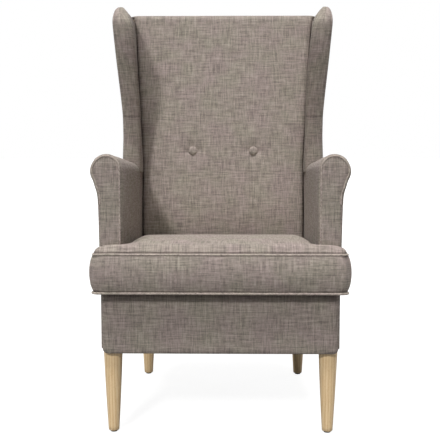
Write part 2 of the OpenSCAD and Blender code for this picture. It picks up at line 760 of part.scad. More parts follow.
// Inside back: stations up the front and over the top edge, each a point and its outward direction
function crown_share(z, x) = let (
    s = max(0, min(1, (z - seat_ref_z) / (chair_h - back_edge_r - seat_ref_z))),
    u = min(1, abs(x) / back_half(z))
  )
  pow(sin(180 * s), 0.7) * (1 - pow(u, 4));
tuft_reach = 30;
tuft_flat = 0.72 * tuft_reach;
function tuft(z, x) = let (
    d = norm([abs(x) - button_spacing / 2, z - button_h]),
    away = max(0, d - tuft_flat) / tuft_reach
  )
  tuft_depth * exp(-4 * away * away);
back_z0 = deck_z(seat_back_y) - 4 * over;
back_z1 = chair_h - back_edge_r;
foam_top_z = top_rail_z + rail_cap / 2;
back_heights = concat(
  [back_z0, bend_h, seat_ref_z], [for (s = [0.3, 0.6]) mix(seat_ref_z, button_h, s)],
  [for (d = [-1.5, -0.9, -0.5, 0, 0.5, 0.9, 1.5]) button_h + d * tuft_reach],
  [for (s = [0.25, 0.5, 0.75]) mix(button_h, back_z1, s)], [foam_top_z]
);
function back_columns(half) = let (
    b = button_spacing / 2,
    t = tuft_reach,
    near = [for (d = [-1.2, -0.5, 0, 0.5, 1.2]) b + d * t],
    right = concat([0, b / 2], near, [mix(b, half, 0.7), half - t / 2, half])
  )
  concat([for (i = [len(right) - 1:-1:1]) -right[i]], right);
function back_row(z, depth) = [
  for (x = back_columns(back_half(z)))
    [x, back_front(z) + depth - back_crown * crown_share(z, x) + tuft(z, x), z]
];

// Rows over the rounded top edge, at an angle from the front, and over the flat top
function corner_in(a) = back_edge_r * (1 - cos(a));
function edge_row(a, depth, wider = 0) = let (
    z = back_z1 + (back_edge_r - depth) * sin(a),
    y = back_front(back_z1 + back_edge_r * sin(a)) + back_edge_r - (back_edge_r - depth) * cos(a)
  )
  [for (x = back_columns(back_half(back_z1) - corner_in(a) + wider)) [x, y, z]];
function sheet_ring(front, rear) = concat(front, reverse(rear));
top_run = post_rear(chair_h) - back_front(chair_h) - back_edge_r;
function top_row(s, depth) = [
  for (p = edge_row(90, depth, back_edge_r - over)) [p[0], p[1] + s * top_run, p[2]]
];
module inside_back_cover() color(cloth_colour) soft() difference() {
  skin(concat(
    [for (z = back_heights) sheet_ring(back_row(z, 0), back_row(z, cloth_t))],
    [for (a = [0, 20, 40, 60, 75, 90]) sheet_ring(edge_row(a, 0), edge_row(a, cloth_t))],
    [for (s = [0.3, 1]) sheet_ring(top_row(s, 0), top_row(s, cloth_t))]
  ));
  tie_holes(tie_r + clear);
}
function foam_rear(z) = post_front(z) - strap_t - 2 * clear;
function foam_ring(z) = concat(
  [for (side = [LEFT, RIGHT]) [side * back_half(z), foam_rear(z), z]], reverse(back_row(z, cloth_t + clear))
);
module back_foam() color(foam_colour) soft() difference() {
  skin([for (z = back_heights) foam_ring(z)]);
  tie_holes(tie_r + clear);
}

// Outside back panel, which also closes the rear ends of the arm scrolls
function panel_half() = let (
    line = arm_line(rear_y, 0, arm_foot_z),
    out = wing_top_w / 2 - rear_draw
  )
  concat(
    [[base_rear_w / 2, base_bottom]],
    [for (i = [len(line) - 1:-1:scroll_n / 2 + 1]) line[i]],
    [[out, chair_h - wing_top_r], [out - wing_top_r / 2, chair_h - wing_top_r / 4]],
    [[back_top_w / 2 - back_edge_r, chair_h]]
  );
module outside_back_panel() color(cloth_dark_colour) intersection() {
  from_side([
    [rear_y - cover_t, base_bottom], [rear_y, base_bottom], [rear_y, bend_h],
    [rear_line(chair_h), chair_h], [rear_line(chair_h) - cover_t, chair_h], [rear_y - cover_t, bend_h]
  ]);
  translate([0, chair_d, 0]) rotate([90, 0, 0]) linear_extrude(2 * chair_d)
    polygon(concat(panel_half(), [for (p = reverse(panel_half())) [-p[0], p[1]]]));
}

// Seat cushion. Its outline is a T: a body between the arms and ears in front of them.
body_half = inner_w / 2 - piping_r - clear;
ear_half = cushion_w / 2;
notch_y = facing_y - piping_r - 2 * clear;
slider_room = 16;
cushion_rear_y = seat_back_y - slider_room;
function piping_low_z(y) = deck_z(y) + clear + piping_r;
function arc(c, r, a0, a1, n) = [
  for (i = [0:n]) let (a = mix(a0, a1, i / n)) [c[0] + r * cos(a), c[1] + r * sin(a)]
];
function cushion_half_outline(inset, swell) = let (
    body = body_half - inset,
    ear = ear_half - inset + swell * 0.7,
    rear = cushion_rear_y - inset,
    notch = notch_y - inset,
    front = cushion_front_y + inset - swell,
    front_r = cushion_front_r - inset
  )
  concat(
    [[body / 2, rear]],
    arc([body - cushion_rear_r, rear - cushion_rear_r], cushion_rear_r, 90, 0, 3),
    [[body, mix(rear, notch, 0.35)], [body, mix(rear, notch, 0.7)], [body, notch]],
    arc([ear - ear_r, notch - ear_r], ear_r, 90, 0, 2),
    arc([ear - front_r, front + front_r], front_r, 0, -90, 4),
    [[body / 2, front]]
  );
function cushion_outline(inset, swell) = let (half = cushion_half_outline(inset, swell))
  concat([[0, cushion_rear_y - inset]], half, [[0, cushion_front_y + inset - swell]],
    [for (p = reverse(half)) [-p[0], p[1]]]);
function at_height(outline, h) = [for (p = outline) [p[0], p[1], piping_low_z(p[1]) + h]];
function swell_at(share) = cushion_swell * pow(sin(180 * share), 0.8);

module piping_loop(h) {
  path = at_height(cushion_outline(piping_r, 0), h);
  skin(tube_rings(path, unit([0, tan(seat_slope), 1]), piping_r, 6, true), true);
}
module cushion_piping_top() color(piping_colour) piping_loop(cushion_h);
module cushion_piping_bottom() color(piping_colour) piping_loop(0);

wall_shares = [0, 0.2, 0.5, 0.8, 1];
wall_low = piping_r + clear;
wall_high = cushion_h - piping_r - clear;
function wall_ring(s, inset) = at_height(cushion_outline(inset, swell_at(s)), mix(wall_low, wall_high, s));
module cushion_boxing() color(cloth_colour) skin(concat(
  [for (s = wall_shares) wall_ring(s, 0)],
  [for (s = reverse(wall_shares)) wall_ring(s, cloth_t)]
), true);

panel_inset = 2 * piping_r + clear;
module cushion_bottom_panel() color(cloth_dark_colour) soft() skin([
  for (h = [-cloth_t / 2, cloth_t / 2]) at_height(cushion_outline(panel_inset, 0), h)
]);

// Rows of the domed top, from the rear edge to the front edge, drawn in from the panel's edge by e
top_rear = cushion_rear_y - panel_inset;
top_front = cushion_front_y + panel_inset;
top_notch = notch_y - panel_inset;
top_front_r = cushion_front_r - panel_inset;
function round_in(d, r) = d >= r ? 0 : r - sqrt(max(0, r * r - (r - d) * (r - d)));
function top_half(y, e) = y > top_notch - e
  ? body_half - panel_inset - e - round_in(top_rear - e - y, cushion_rear_r)
  : ear_half - panel_inset - e
    - max(round_in(top_notch - e - y, ear_r), round_in(y - top_front - e, top_front_r));
function top_ys(e) = let (rear = top_rear - e, notch = top_notch - e, front = top_front + e) concat(
  [for (d = [0, 0.08, 0.35, 1]) rear - d * cushion_rear_r],
  [for (s = [0.2, 0.45, 0.7, 0.9, 0.999]) mix(rear - cushion_rear_r, notch, s)],
  [notch, notch - ear_r],
  [for (d = [0.7, 0.35, 0.1, 0]) front + d * top_front_r]
);
top_shares = [-1, -0.94, -0.8, -0.55, -0.3, 0, 0.3, 0.55, 0.8, 0.94, 1];
function dome(u, y) = let (
    v = abs(2 * (y - top_front) / (top_rear - top_front) - 1)
  )
  cushion_crown * sqrt(max(0, 1 - pow(abs(u), 3.5))) * sqrt(max(0, 1 - pow(v, 3.5)));
function top_line(y, drop, e, crown) = [
  for (u = top_shares) [u * top_half(y, e), y, piping_low_z(y) + cushion_h - drop + crown * dome(u, y)]
];
module cushion_top_panel() color(cloth_colour) soft()
  skin([for (y = top_ys(0)) concat(top_line(y, 0, 0, 1), reverse(top_line(y, cloth_t, 0, 1)))]);

// Core: upright sections from rear to front. Its walls swell as the boxing does, and its nose is rounded.
core_in = 3;
core_drop = cloth_t + 2 * clear;
core_low = cloth_t / 2 + 2 * clear;
core_high = cushion_h - core_drop - piping_r;
core_wall_shares = [0.25, 0.5, 0.75];
function core_half(y, s) = let (
    w = 0.7 * swell_at(s),
    ear = ear_half - panel_inset - core_in,
    r = top_front_r,
    cy = top_front + core_in + r,
    nose = y < cy ? sqrt(max(0, pow(r + w, 2) - pow(cy - y, 2))) : r + w
  )
  y > top_notch - core_in ? top_half(y, core_in)
    : ear - max(r - nose, round_in(top_notch - core_in - y, ear_r) - w);
function core_point(side, y, s) = [side * core_half(y, s), y, piping_low_z(y) + mix(core_low, core_high, s)];
function core_section(y, s0) = concat(
  [for (u = top_shares) [u * core_half(y, s0), y, piping_low_z(y) + mix(core_low, core_high, s0)]],
  [for (s = core_wall_shares) core_point(RIGHT, y, mix(s0, 1 - s0, s))],
  reverse(s0 > 0 ? nose_line(y, s0) : top_line(y, core_drop, core_in, 1)),
  [for (s = reverse(core_wall_shares)) core_point(LEFT, y, mix(s0, 1 - s0, s))]
);
function nose_line(y, s0) = [
  for (u = top_shares) [u * core_half(y, s0), y, piping_low_z(y) + mix(core_low, core_high, 1 - s0)]
];
nose_shares = [0.3, 0.6, 0.85];
function nose_start(d) = asin(pow(d / 0.7, 1.25)) / 180;
module cushion_core() color(foam_colour) soft() skin(concat(
  [for (y = top_ys(core_in)) core_section(y, 0)],
  [for (d = 0.7 * nose_shares) core_section(top_front + core_in - d * cushion_swell, nose_start(d))]
));

// Zip along the rear of the cushion, and its slider
zip_half = 225;
tape_w = 26;
tape_t = 1;
coil_w = 6;
coil_t = 1.6;
zip_z = piping_low_z(cushion_rear_y) + cushion_h / 2;
zip_y = cushion_rear_y + clear;
coil_y = zip_y + tape_t;
module zip_tape() color(lining_colour) {
  block([-zip_half, zip_y, zip_z - tape_w / 2], [zip_half, coil_y, zip_z + tape_w / 2]);
  block([-zip_half, coil_y, zip_z - coil_w / 2], [zip_half, coil_y + coil_t, zip_z + coil_w / 2]);
}
slider_w = 9;
slider_l = 12;
slider_t = 4;
pull_w = 5;
pull_l = 26;
pull_t = 1.5;
slider_y = coil_y + clear;
pull_y = slider_y + slider_t;
slider_x = -zip_half + slider_l;
function at_slider(dx, y, dz) = [slider_x + dx, y, zip_z + dz];
module zip_slider() color(steel_colour) {
  difference() {
    block(at_slider(-slider_l / 2, slider_y, -slider_w / 2), at_slider(slider_l / 2, pull_y, slider_w / 2));
    block(at_slider(-slider_l, slider_y - over, -coil_w / 2 - clear),
      at_slider(slider_l, coil_y + coil_t + clear, coil_w / 2 + clear));
  }
  block(at_slider(-pull_w / 2, pull_y, -pull_l), at_slider(pull_w / 2, pull_y + pull_t, over));
}

front_rail();
rear_rail();
side_rail(LEFT);  // side_rail_left
side_rail(RIGHT);  // side_rail_right
front_post(LEFT);  // front_post_left
front_post(RIGHT);  // front_post_right
back_post(LEFT);  // back_post_left
back_post(RIGHT);  // back_post_right
top_rail();
lumbar_rail();
arm_rail(LEFT);  // arm_rail_left
arm_rail(RIGHT);  // arm_rail_right
wing_board(LEFT);  // wing_board_left
wing_board(RIGHT);  // wing_board_right
corner_blocks();
frame_dowels();
wing_screws();
leg(leg_places[0], LEFT);  // leg_front_left
leg(leg_places[0], RIGHT);  // leg_front_right
leg(leg_places[1], LEFT);  // leg_rear_left
leg(leg_places[1], RIGHT);  // leg_rear_right
hanger_bolts();
tee_nuts();
glides();
seat_springs();
spring_clips();
back_webbing();
deck_pad();
deck_cover();
front_border();
side_panel(LEFT);  // side_panel_left
side_panel(RIGHT);  // side_panel_right
dust_cover();
arm_pad(LEFT);  // arm_pad_left
arm_pad(RIGHT);  // arm_pad_right
arm_cover(LEFT);  // arm_cover_left
arm_cover(RIGHT);  // arm_cover_right
arm_facing(LEFT);  // arm_facing_left
arm_facing(RIGHT);  // arm_facing_right
arm_piping(LEFT);  // arm_piping_left
arm_piping(RIGHT);  // arm_piping_right
wing_pad(LEFT);  // wing_pad_left
wing_pad(RIGHT);  // wing_pad_right
wing_cover(LEFT);  // wing_cover_left
wing_cover(RIGHT);  // wing_cover_right
back_foam();
inside_back_cover();
outside_back_panel();
back_buttons();
button_ties();
cushion_core();
cushion_top_panel();
cushion_boxing();
cushion_bottom_panel();
cushion_piping_top();
cushion_piping_bottom();
zip_tape();
zip_slider();
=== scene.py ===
import math

import bpy
import numpy as np
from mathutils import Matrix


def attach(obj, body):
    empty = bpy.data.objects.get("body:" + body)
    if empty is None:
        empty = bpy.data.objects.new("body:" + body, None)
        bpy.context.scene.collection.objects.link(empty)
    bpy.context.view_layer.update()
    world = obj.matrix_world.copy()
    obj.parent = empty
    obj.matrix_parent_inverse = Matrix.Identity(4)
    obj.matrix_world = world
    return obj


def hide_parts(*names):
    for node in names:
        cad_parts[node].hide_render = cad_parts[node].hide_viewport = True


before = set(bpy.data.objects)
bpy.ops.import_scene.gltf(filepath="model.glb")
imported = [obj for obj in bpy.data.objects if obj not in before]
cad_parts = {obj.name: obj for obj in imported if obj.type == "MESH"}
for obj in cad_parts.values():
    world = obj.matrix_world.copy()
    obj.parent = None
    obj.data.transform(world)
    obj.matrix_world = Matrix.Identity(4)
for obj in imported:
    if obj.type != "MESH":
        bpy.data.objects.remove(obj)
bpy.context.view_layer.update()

# Camera: a 69 mm lens a little over two metres in front of the arms, at the height of the buttons.
# It tips 4.76 degrees down and turns 0.9 degrees to the left, as the photograph was taken.
camera = bpy.data.objects.new("camera", bpy.data.cameras.new("camera"))
camera.data.lens = 68.73
camera.data.sensor_width = 36
camera.location = (0.032, -2.410, 0.720)
camera.rotation_euler = (math.radians(90 - 4.76), 0, math.radians(0.9))
bpy.context.scene.collection.objects.link(camera)
bpy.context.scene.camera = camera


# Frame: seat rails, posts, arm rails and corner blocks of planed beech, dowelled and glued. The wing
# boards are birch plywood, screwed to the back posts. It is all hidden once the covers are on.
class Finish:
    """A node material. add() makes a node, sets its options, then sets or joins its inputs."""

    def __init__(self, name, **plain):
        self.material = bpy.data.materials.new(name)
        self.material.use_nodes = True
        self.tree = self.material.node_tree
        self.shader = self.tree.nodes["Principled BSDF"]
        for key, value in plain.items():
            self.put(self.shader, key.replace("_", " "), value)

    def put(self, node, key, value):
        socket = node.inputs[key]
        if isinstance(value, bpy.types.NodeSocket):
            self.tree.links.new(value, socket)
        elif isinstance(value, tuple) and len(value) == 3 and socket.type == "RGBA":
            socket.default_value = (*value, 1)
        else:
            socket.default_value = value

    def add(self, kind, inputs, out=0, **options):
        node = self.tree.nodes.new("ShaderNode" + kind)
        for key, value in options.items():
            setattr(node, key, value)
        for key, value in inputs.items():
            self.put(node, key, value)
        return node.outputs[out]

    def paint(self, colour):
        self.put(self.shader, "Base Color", colour)

    def inside(self):
        """Places within the object, in metres."""
        return self.add("TexCoord", {}, out=3)

    def ramp(self, factor, *stops):
        node = self.tree.nodes.new("ShaderNodeValToRGB")
        self.put(node, "Fac", factor)
        ramp = node.color_ramp
        while len(ramp.elements) < len(stops):
            ramp.elements.new(0.5)
        for element, (place, colour) in zip(ramp.elements, stops):
            element.position = place
            element.color = (*colour, 1)
        return node.outputs[0]

    def noise(self, where, stretch, detail=2, rough=0.5):
        """Noise of about one feature per unit, where a unit is one over the stretch, in metres."""
        place = self.add("Mapping", {"Vector": where, "Scale": stretch})
        return self.add("TexNoise", {"Vector": place, "Scale": 1, "Detail": detail, "Roughness": rough})

    def multiplied(self, factor, a, b):
        """Colour a, times colour b to the given factor."""
        node = self.tree.nodes.new("ShaderNodeMix")
        node.data_type = "RGBA"
        node.blend_type = "MULTIPLY"
        for index, value in ((0, factor), (6, a), (7, b)):
            self.put(node, index, value)
        return node.outputs[2]

    def sum(self, *terms):
        """Sum of a source times its share, for each pair of terms."""
        total = None
        for source, share in terms:
            part = self.add("Math", {0: source, 1: share}, operation="MULTIPLY")
            total = part if total is None else self.add("Math", {0: total, 1: part}, operation="ADD")
        return total

    def raise_up(self, height, distance, strength=1.0):
        normal = self.add("Bump", {"Height": height, "Distance": distance, "Strength": strength})
        self.put(self.shader, "Normal", normal)


def dress(material, *names):
    for name in names:
        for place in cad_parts[name].material_slots:
            place.material = material


def both(*names):
    return [name + side for name in names for side in ("_left", "_right")]


def planed_wood(name, pale, tan, along):
    """Grain runs along one axis: noise drawn out along it for the figure, and short dark flecks."""
    wood = Finish(name, Roughness=0.55)
    where = wood.inside()
    slow, fast, fleck = [70.0] * 3, [420.0] * 3, [1400.0] * 3
    slow[along], fast[along], fleck[along] = 5.0, 14.0, 190.0
    figure = wood.noise(where, slow, 3)
    grain = wood.noise(where, fast, 2)
    flecks = wood.ramp(wood.noise(where, fleck, 1), (0.62, (1, 1, 1)), (0.72, (0.72, 0.62, 0.5)))
    tone = wood.sum((figure, 0.65), (grain, 0.35))
    colour = wood.ramp(tone, (0.32, tan), (0.68, pale))
    wood.paint(wood.multiplied(1.0, colour, flecks))
    wood.raise_up(grain, 0.0003, 0.4)
    return wood.material


pale_beech, tan_beech = (0.68, 0.49, 0.31), (0.52, 0.34, 0.19)
beech_across = planed_wood("beech_across", pale_beech, tan_beech, 0)
beech_deep = planed_wood("beech_deep", pale_beech, tan_beech, 1)
beech_upright = planed_wood("beech_upright", pale_beech, tan_beech, 2)
dress(beech_across, "front_rail", "rear_rail", "top_rail", "lumbar_rail", "corner_blocks", "frame_dowels")
dress(beech_deep, *both("side_rail", "arm_rail"))
dress(beech_upright, *both("front_post", "back_post"))

birch = Finish("birch_ply", Roughness=0.6)
inside = birch.inside()
veneers = birch.add("TexWave", {"Vector": inside, "Scale": 210.0, "Distortion": 0.6, "Detail": 1},
                    bands_direction="X")
figure = birch.noise(inside, (160.0, 9.0, 40.0), 3)
shade = birch.ramp(figure, (0.3, (0.56, 0.4, 0.24)), (0.7, (0.72, 0.55, 0.36)))
lines = birch.ramp(veneers, (0.3, (0.6, 0.5, 0.4)), (0.6, (1, 1, 1)))
birch.paint(birch.multiplied(0.35, shade, lines))
birch.raise_up(figure, 0.0002, 0.3)
dress(birch.material, *both("wing_board"))


# Steel: hanger bolts, tee nuts, wing screws and folded spring clips, all zinc-plated, and zigzag seat
# springs of hard drawn wire, which the clips hold to the rails.
def plated(name, tint, rough):
    """Zinc or bare wire: faint drawn streaks and a few duller spots."""
    metal = Finish(name, Metallic=1.0)
    where = metal.inside()
    spots = metal.noise(where, (90.0, 90.0, 90.0), 4, 0.65)
    streaks = metal.noise(where, (60.0, 900.0, 900.0), 1)
    dull = tuple(0.72 * c for c in tint)
    metal.paint(metal.ramp(spots, (0.3, dull), (0.6, tint)))
    spread = metal.sum((spots, 0.25), (streaks, 0.12))
    metal.put(metal.shader, "Roughness", metal.add("Math", {0: spread, 1: rough}, operation="ADD"))
    metal.raise_up(streaks, 0.00005, 0.3)
    return metal.material


dress(plated("zinc", (0.63, 0.64, 0.66), 0.18), "hanger_bolts", "tee_nuts", "wing_screws", "spring_clips")
dress(plated("spring_wire", (0.30, 0.30, 0.31), 0.25), "seat_springs")


# Straps and twine: six 50 mm elastic straps across the back posts, stapled and pulled tight, so each
# lies flat and dips by a millimetre at its middle. Waxed twine ties the buttons to them.
def together(*parts):
    """Stacks arrays of one coordinate each, spread over a common grid, along a new last axis."""
    return np.stack(np.broadcast_arrays(*parts), -1)


def lay_grid(name, points, uv, around=False, capped=False, outward=None, thickness=0.0):
    """Quads over rows and columns of points: quad (i, j) joins rows i and i + 1 at columns j and j + 1.
    Around joins the last column to the first, and capped closes the first and last rows. Outward is a
    point that the faces look away from, and otherwise the enclosed volume is made positive."""
    rows, columns = points.shape[:2]
    wide = columns if around else columns - 1
    i, j = np.meshgrid(np.arange(rows - 1), np.arange(wide), indexing="ij")
    k = (j + 1) % columns
    quads = np.stack([i * columns + j, i * columns + k, (i + 1) * columns + k, (i + 1) * columns + j], -1)
    marks = np.stack([uv[i, j], uv[i, j + 1], uv[i + 1, j + 1], uv[i + 1, j]], -2)
    flat = points.reshape(-1, 3)
    a, b, c = (flat[quads[..., n]] for n in (0, 1, 2))
    facing = np.cross(b - a, c - a)
    sense = (facing * (a - (0 if outward is None else np.asarray(outward)))).sum()
    faces = [list(map(int, face)) for face in quads.reshape(-1, 4)]
    marks = list(marks.reshape(-1, 4, 2))
    if capped:
        faces += [list(range(columns))[::-1], list(range((rows - 1) * columns, rows * columns))]
        marks += [uv[0, :columns][::-1], uv[-1, :columns]]
    if sense < 0:
        faces = [face[::-1] for face in faces]
        marks = [mark[::-1] for mark in marks]
    mesh = bpy.data.meshes.new(name)
    mesh.from_pydata(flat.tolist(), [], faces)
    mesh.uv_layers.new(name="weave").data.foreach_set("uv", np.concatenate(marks).ravel().astype("f"))
    mesh.polygons.foreach_set("use_smooth", np.ones(len(faces), bool))
    piece = bpy.data.objects.new(name, mesh)
    bpy.context.scene.collection.objects.link(piece)
    if thickness:
        wall = piece.modifiers.new("thickness", "SOLIDIFY")
        wall.thickness = thickness
        wall.offset = -1
    return piece


def finished(piece, material, replaces=(), body="chair"):
    """Gives a piece its material, its body and the nodes that it stands for."""
    piece.data.materials.append(material)
    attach(piece, body)
    if replaces:
        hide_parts(*replaces)


wave_length = 0.314  # metres between the ribs of a wave texture at a scale of 1


def webbing_cloth(name, dark, pale, pitch):
    """Ribs across a strap: a sine of the length over the pitch."""
    cloth = Finish(name, Roughness=0.85)
    where = cloth.inside()
    ribs = cloth.add("TexWave", {"Vector": where, "Scale": wave_length / pitch, "Distortion": 0.4, "Detail": 1},
                     bands_direction="X")
    fuzz = cloth.noise(where, (700.0, 700.0, 700.0), 2)
    tone = cloth.sum((ribs, 0.6), (fuzz, 0.4))
    cloth.paint(cloth.ramp(tone, (0.25, dark), (0.75, pale)))
    cloth.raise_up(tone, 0.0004, 0.6)
    return cloth.material


elastic = webbing_cloth("elastic_webbing", (0.02, 0.02, 0.022), (0.06, 0.06, 0.065), 0.0022)
twine = webbing_cloth("waxed_twine", (0.35, 0.27, 0.17), (0.6, 0.5, 0.34), 0.0012)
dress(twine, "button_ties")


bend_z, recline = 0.4, 0.13715
wing_foot_z, wing_height = 0.6796, 0.4714


def post_front(z):
    """Front of the back posts: upright below the bend, then leaning back."""
    return 0.2417 + np.maximum(0, z - bend_z) * recline


def back_half(z):
    """Half width of the back: the same up to the wings' feet, then spreading to the top."""
    return 0.2537 + 0.032 * np.clip((z - wing_foot_z) / wing_height, 0, None)


strap_width, lean = 0.050, math.atan(recline)
for number, middle in enumerate((0.5492, 0.6528, 0.717, 0.86, 0.9637, 1.0673)):
    half = float(back_half(middle)) - 0.002
    u = np.linspace(-1, 1, 41)[None]
    v = np.linspace(-strap_width / 2, strap_width / 2, 7)[:, None]
    y = post_front(middle) - 0.0003 + v * math.sin(lean) + 0.001 * (1 - u ** 2)
    strap = lay_grid(f"back_strap_{number + 1}", together(u * half, y, middle + v * math.cos(lean)),
                     together(u * half, v), outward=(0, 5, 0), thickness=0.0018)
    finished(strap, elastic, ("back_webbing",))


# Legs: turned from beech, straight tapers with an eased foot, clear lacquered. Each is screwed into a
# tee nut by its hanger bolt, and stands on a nylon glide.
legwood = Finish("lacquered_beech", Roughness=0.34, Coat_Weight=0.25, Coat_Roughness=0.25)
where = legwood.inside()
bend = legwood.noise(where, (9.0, 9.0, 3.0), 2)
drift = legwood.add("VectorMath", {0: where, 1: legwood.add("CombineXYZ", {
    "X": legwood.sum((bend, 0.02)), "Y": legwood.sum((bend, 0.013))})}, operation="ADD")
rings = legwood.add("TexWave", {"Vector": legwood.add("Mapping", {"Vector": drift, "Scale": (1, 0.55, 0.06)}),
                                "Scale": 42.0, "Distortion": 2.5, "Detail": 2, "Detail Scale": 1.4},
                    bands_direction="X")
grain = legwood.noise(drift, (420.0, 420.0, 11.0), 3)
flecks = legwood.ramp(legwood.noise(where, (1500.0, 1500.0, 230.0), 1),
                      (0.6, (1, 1, 1)), (0.72, (0.84, 0.74, 0.62)))
tone = legwood.sum((rings, 0.35), (grain, 0.65))
lacquered = legwood.ramp(tone, (0.25, (0.76, 0.52, 0.27)), (0.5, (0.88, 0.64, 0.36)),
                         (0.8, (0.95, 0.74, 0.46)))
legwood.paint(legwood.multiplied(1.0, lacquered, flecks))
legwood.raise_up(grain, 0.0002, 0.35)

nylon = Finish("nylon", Base_Color=(0.035, 0.034, 0.036), Roughness=0.42)
scuff = nylon.noise(nylon.inside(), (500.0, 500.0, 900.0), 3)
nylon.raise_up(scuff, 0.0001, 0.5)

leg_places = {"leg_front_left": (-0.2735, -0.305), "leg_front_right": (0.2735, -0.305),
              "leg_rear_left": (-0.2405, 0.257), "leg_rear_right": (0.2405, 0.257)}
leg_foot, leg_top = (0.0136, 0.0055), (0.0241, 0.2155)


def turned(name, profile, place, sides=48):
    """Surface of revolution: (radius, height) pairs carried round an upright axis."""
    radius, height = np.asarray(profile, float).T
    t = np.linspace(0, 2 * math.pi, sides + 1)
    ring = together(radius[:, None] * np.cos(t), radius[:, None] * np.sin(t), height[:, None])
    weave = together(t * radius.max(), height[:, None])
    return lay_grid(name, ring[:, :-1] + (*place, 0), weave, around=True, capped=True)


for name, place in leg_places.items():
    height = np.linspace(0, 1, 24)
    taper = leg_foot[0] + (leg_top[0] - leg_foot[0]) * height + 0.0006 * np.sin(math.pi * height)
    side = together(taper, leg_foot[1] + (leg_top[1] - leg_foot[1]) * height)
    profile = [(0.0112, 0.0041), (0.0121, 0.0043), (0.0128, 0.0048), *side, (0.0236, 0.2159)]
    finished(turned(name + "_turned", profile, place), legwood.material, (name,))
    foot = [(0.0030, 0.0001), (0.0068, 0.0001), (0.0082, 0.0005), (0.0089, 0.0014), (0.0090, 0.0030),
            (0.0086, 0.0039), (0.0024, 0.00395)]
    finished(turned(name.replace("leg", "glide") + "_disc", foot, place, 32), nylon.material,
             ("glides",))


# Cover cloth: a taupe plain weave with linen-look slubs, thick and thin threads crossing in both
# directions. It covers the whole chair, and its pattern follows each cut panel by its own weave map.
def cover_cloth(name, base, turn=0.0):
    """Tone = base x (1 + slubs along u + slubs along v + fine threads), with slow drifts of hue. The
    bump is the same slubs over a fine plain weave, the product of two sines 1.1 mm apart."""
    cloth = Finish(name, Roughness=0.92, Specular_IOR_Level=0.25, Sheen_Weight=0.05, Sheen_Roughness=0.5)
    laid = cloth.add("UVMap", {}, uv_map="weave")
    laid = cloth.add("Mapping", {"Vector": laid, "Rotation": (0, 0, turn)})
    weft = cloth.noise(laid, (26.0, 330.0, 1.0), 3, 0.55)
    warp = cloth.noise(laid, (330.0, 26.0, 1.0), 3, 0.55)
    slub_weft = cloth.noise(laid, (17.0, 150.0, 1.0), 1)
    slub_warp = cloth.noise(laid, (150.0, 17.0, 1.0), 1)
    fine_weft = cloth.noise(laid, (130.0, 1100.0, 1.0), 1)
    fine_warp = cloth.noise(laid, (1100.0, 130.0, 1.0), 1)
    drift = cloth.noise(laid, (13.0, 13.0, 1.0), 2)
    tone = cloth.sum((weft, 0.25), (warp, 0.27), (slub_weft, 0.12), (slub_warp, 0.12),
                     (fine_weft, 0.12), (fine_warp, 0.12))
    threads = cloth.ramp(tone, (0.415, tuple(0.60 * c for c in base)), (0.585, tuple(1.42 * c for c in base)))
    hue = cloth.ramp(drift, (0.35, (1.02, 0.975, 1.02)), (0.65, (0.985, 1.015, 0.975)))
    colour = cloth.multiplied(1.0, threads, hue)
    # Painted shade: a point attribute darkens the colour towards a dark grey where shade falls at seams, joints
    # and under the cushion.
    painted_shade = cloth.add("Attribute", {}, out=2, attribute_name="painted_shade")
    cloth.paint(cloth.multiplied(painted_shade, colour, (0.35, 0.33, 0.33)))
    across, along = (cloth.add("TexWave", {"Vector": laid, "Scale": wave_length / 0.0011}, bands_direction=way)
                     for way in "XY")
    checks = cloth.add("Math", {0: across, 1: along}, operation="MULTIPLY")
    cloth.raise_up(cloth.sum((tone, 2.2), (checks, 0.35)), 0.0006, 0.8)
    return cloth.material


linen_tint = (0.305, 0.262, 0.227)
linen = cover_cloth("linen_cloth", linen_tint)
# The piping's linen is made 1.3 times lighter: a painted highlight for the light that the round cords catch.
piping_cloth = cover_cloth("piping_cloth", tuple(1.3 * c for c in linen_tint), math.radians(45))


# Deck: a slab of foam on the springs, and black lining cloth stretched over it and out to the arms and
# the back. The seat cushion lies on it.
arm_front = -0.345
deck_slope = math.tan(math.radians(2))


def inner_x(y):
    """Inside face of the arms, which stand a little further apart at the rear."""
    return 0.243 + 0.011 * (y - arm_front) / 0.545


def deck_z(y):
    """Top of the deck, falling to the rear."""
    return 0.366 - deck_slope * (y - arm_front)


foam = Finish("cut_foam", Roughness=0.95, Subsurface_Weight=0.1, Subsurface_Radius=(0.01, 0.007, 0.003))
cells = foam.add("TexVoronoi", {"Vector": foam.inside(), "Scale": 700.0})
foam.paint(foam.ramp(cells, (0.1, (0.62, 0.56, 0.38)), (0.5, (0.8, 0.74, 0.55))))
foam.raise_up(cells, 0.0005, 0.6)


def quarter_turn(n):
    """n angles from 0 to a right angle."""
    return np.linspace(0, math.pi / 2, n)


def round_lengths(ring):
    """Length round each closed row of points, up to each point and on to the first again."""
    closed = np.concatenate([ring, ring[:, :1]], 1)
    steps = np.linalg.norm(np.diff(closed, axis=1), axis=2)
    return np.concatenate([np.zeros((len(ring), 1)), np.cumsum(steps, 1)], 1)


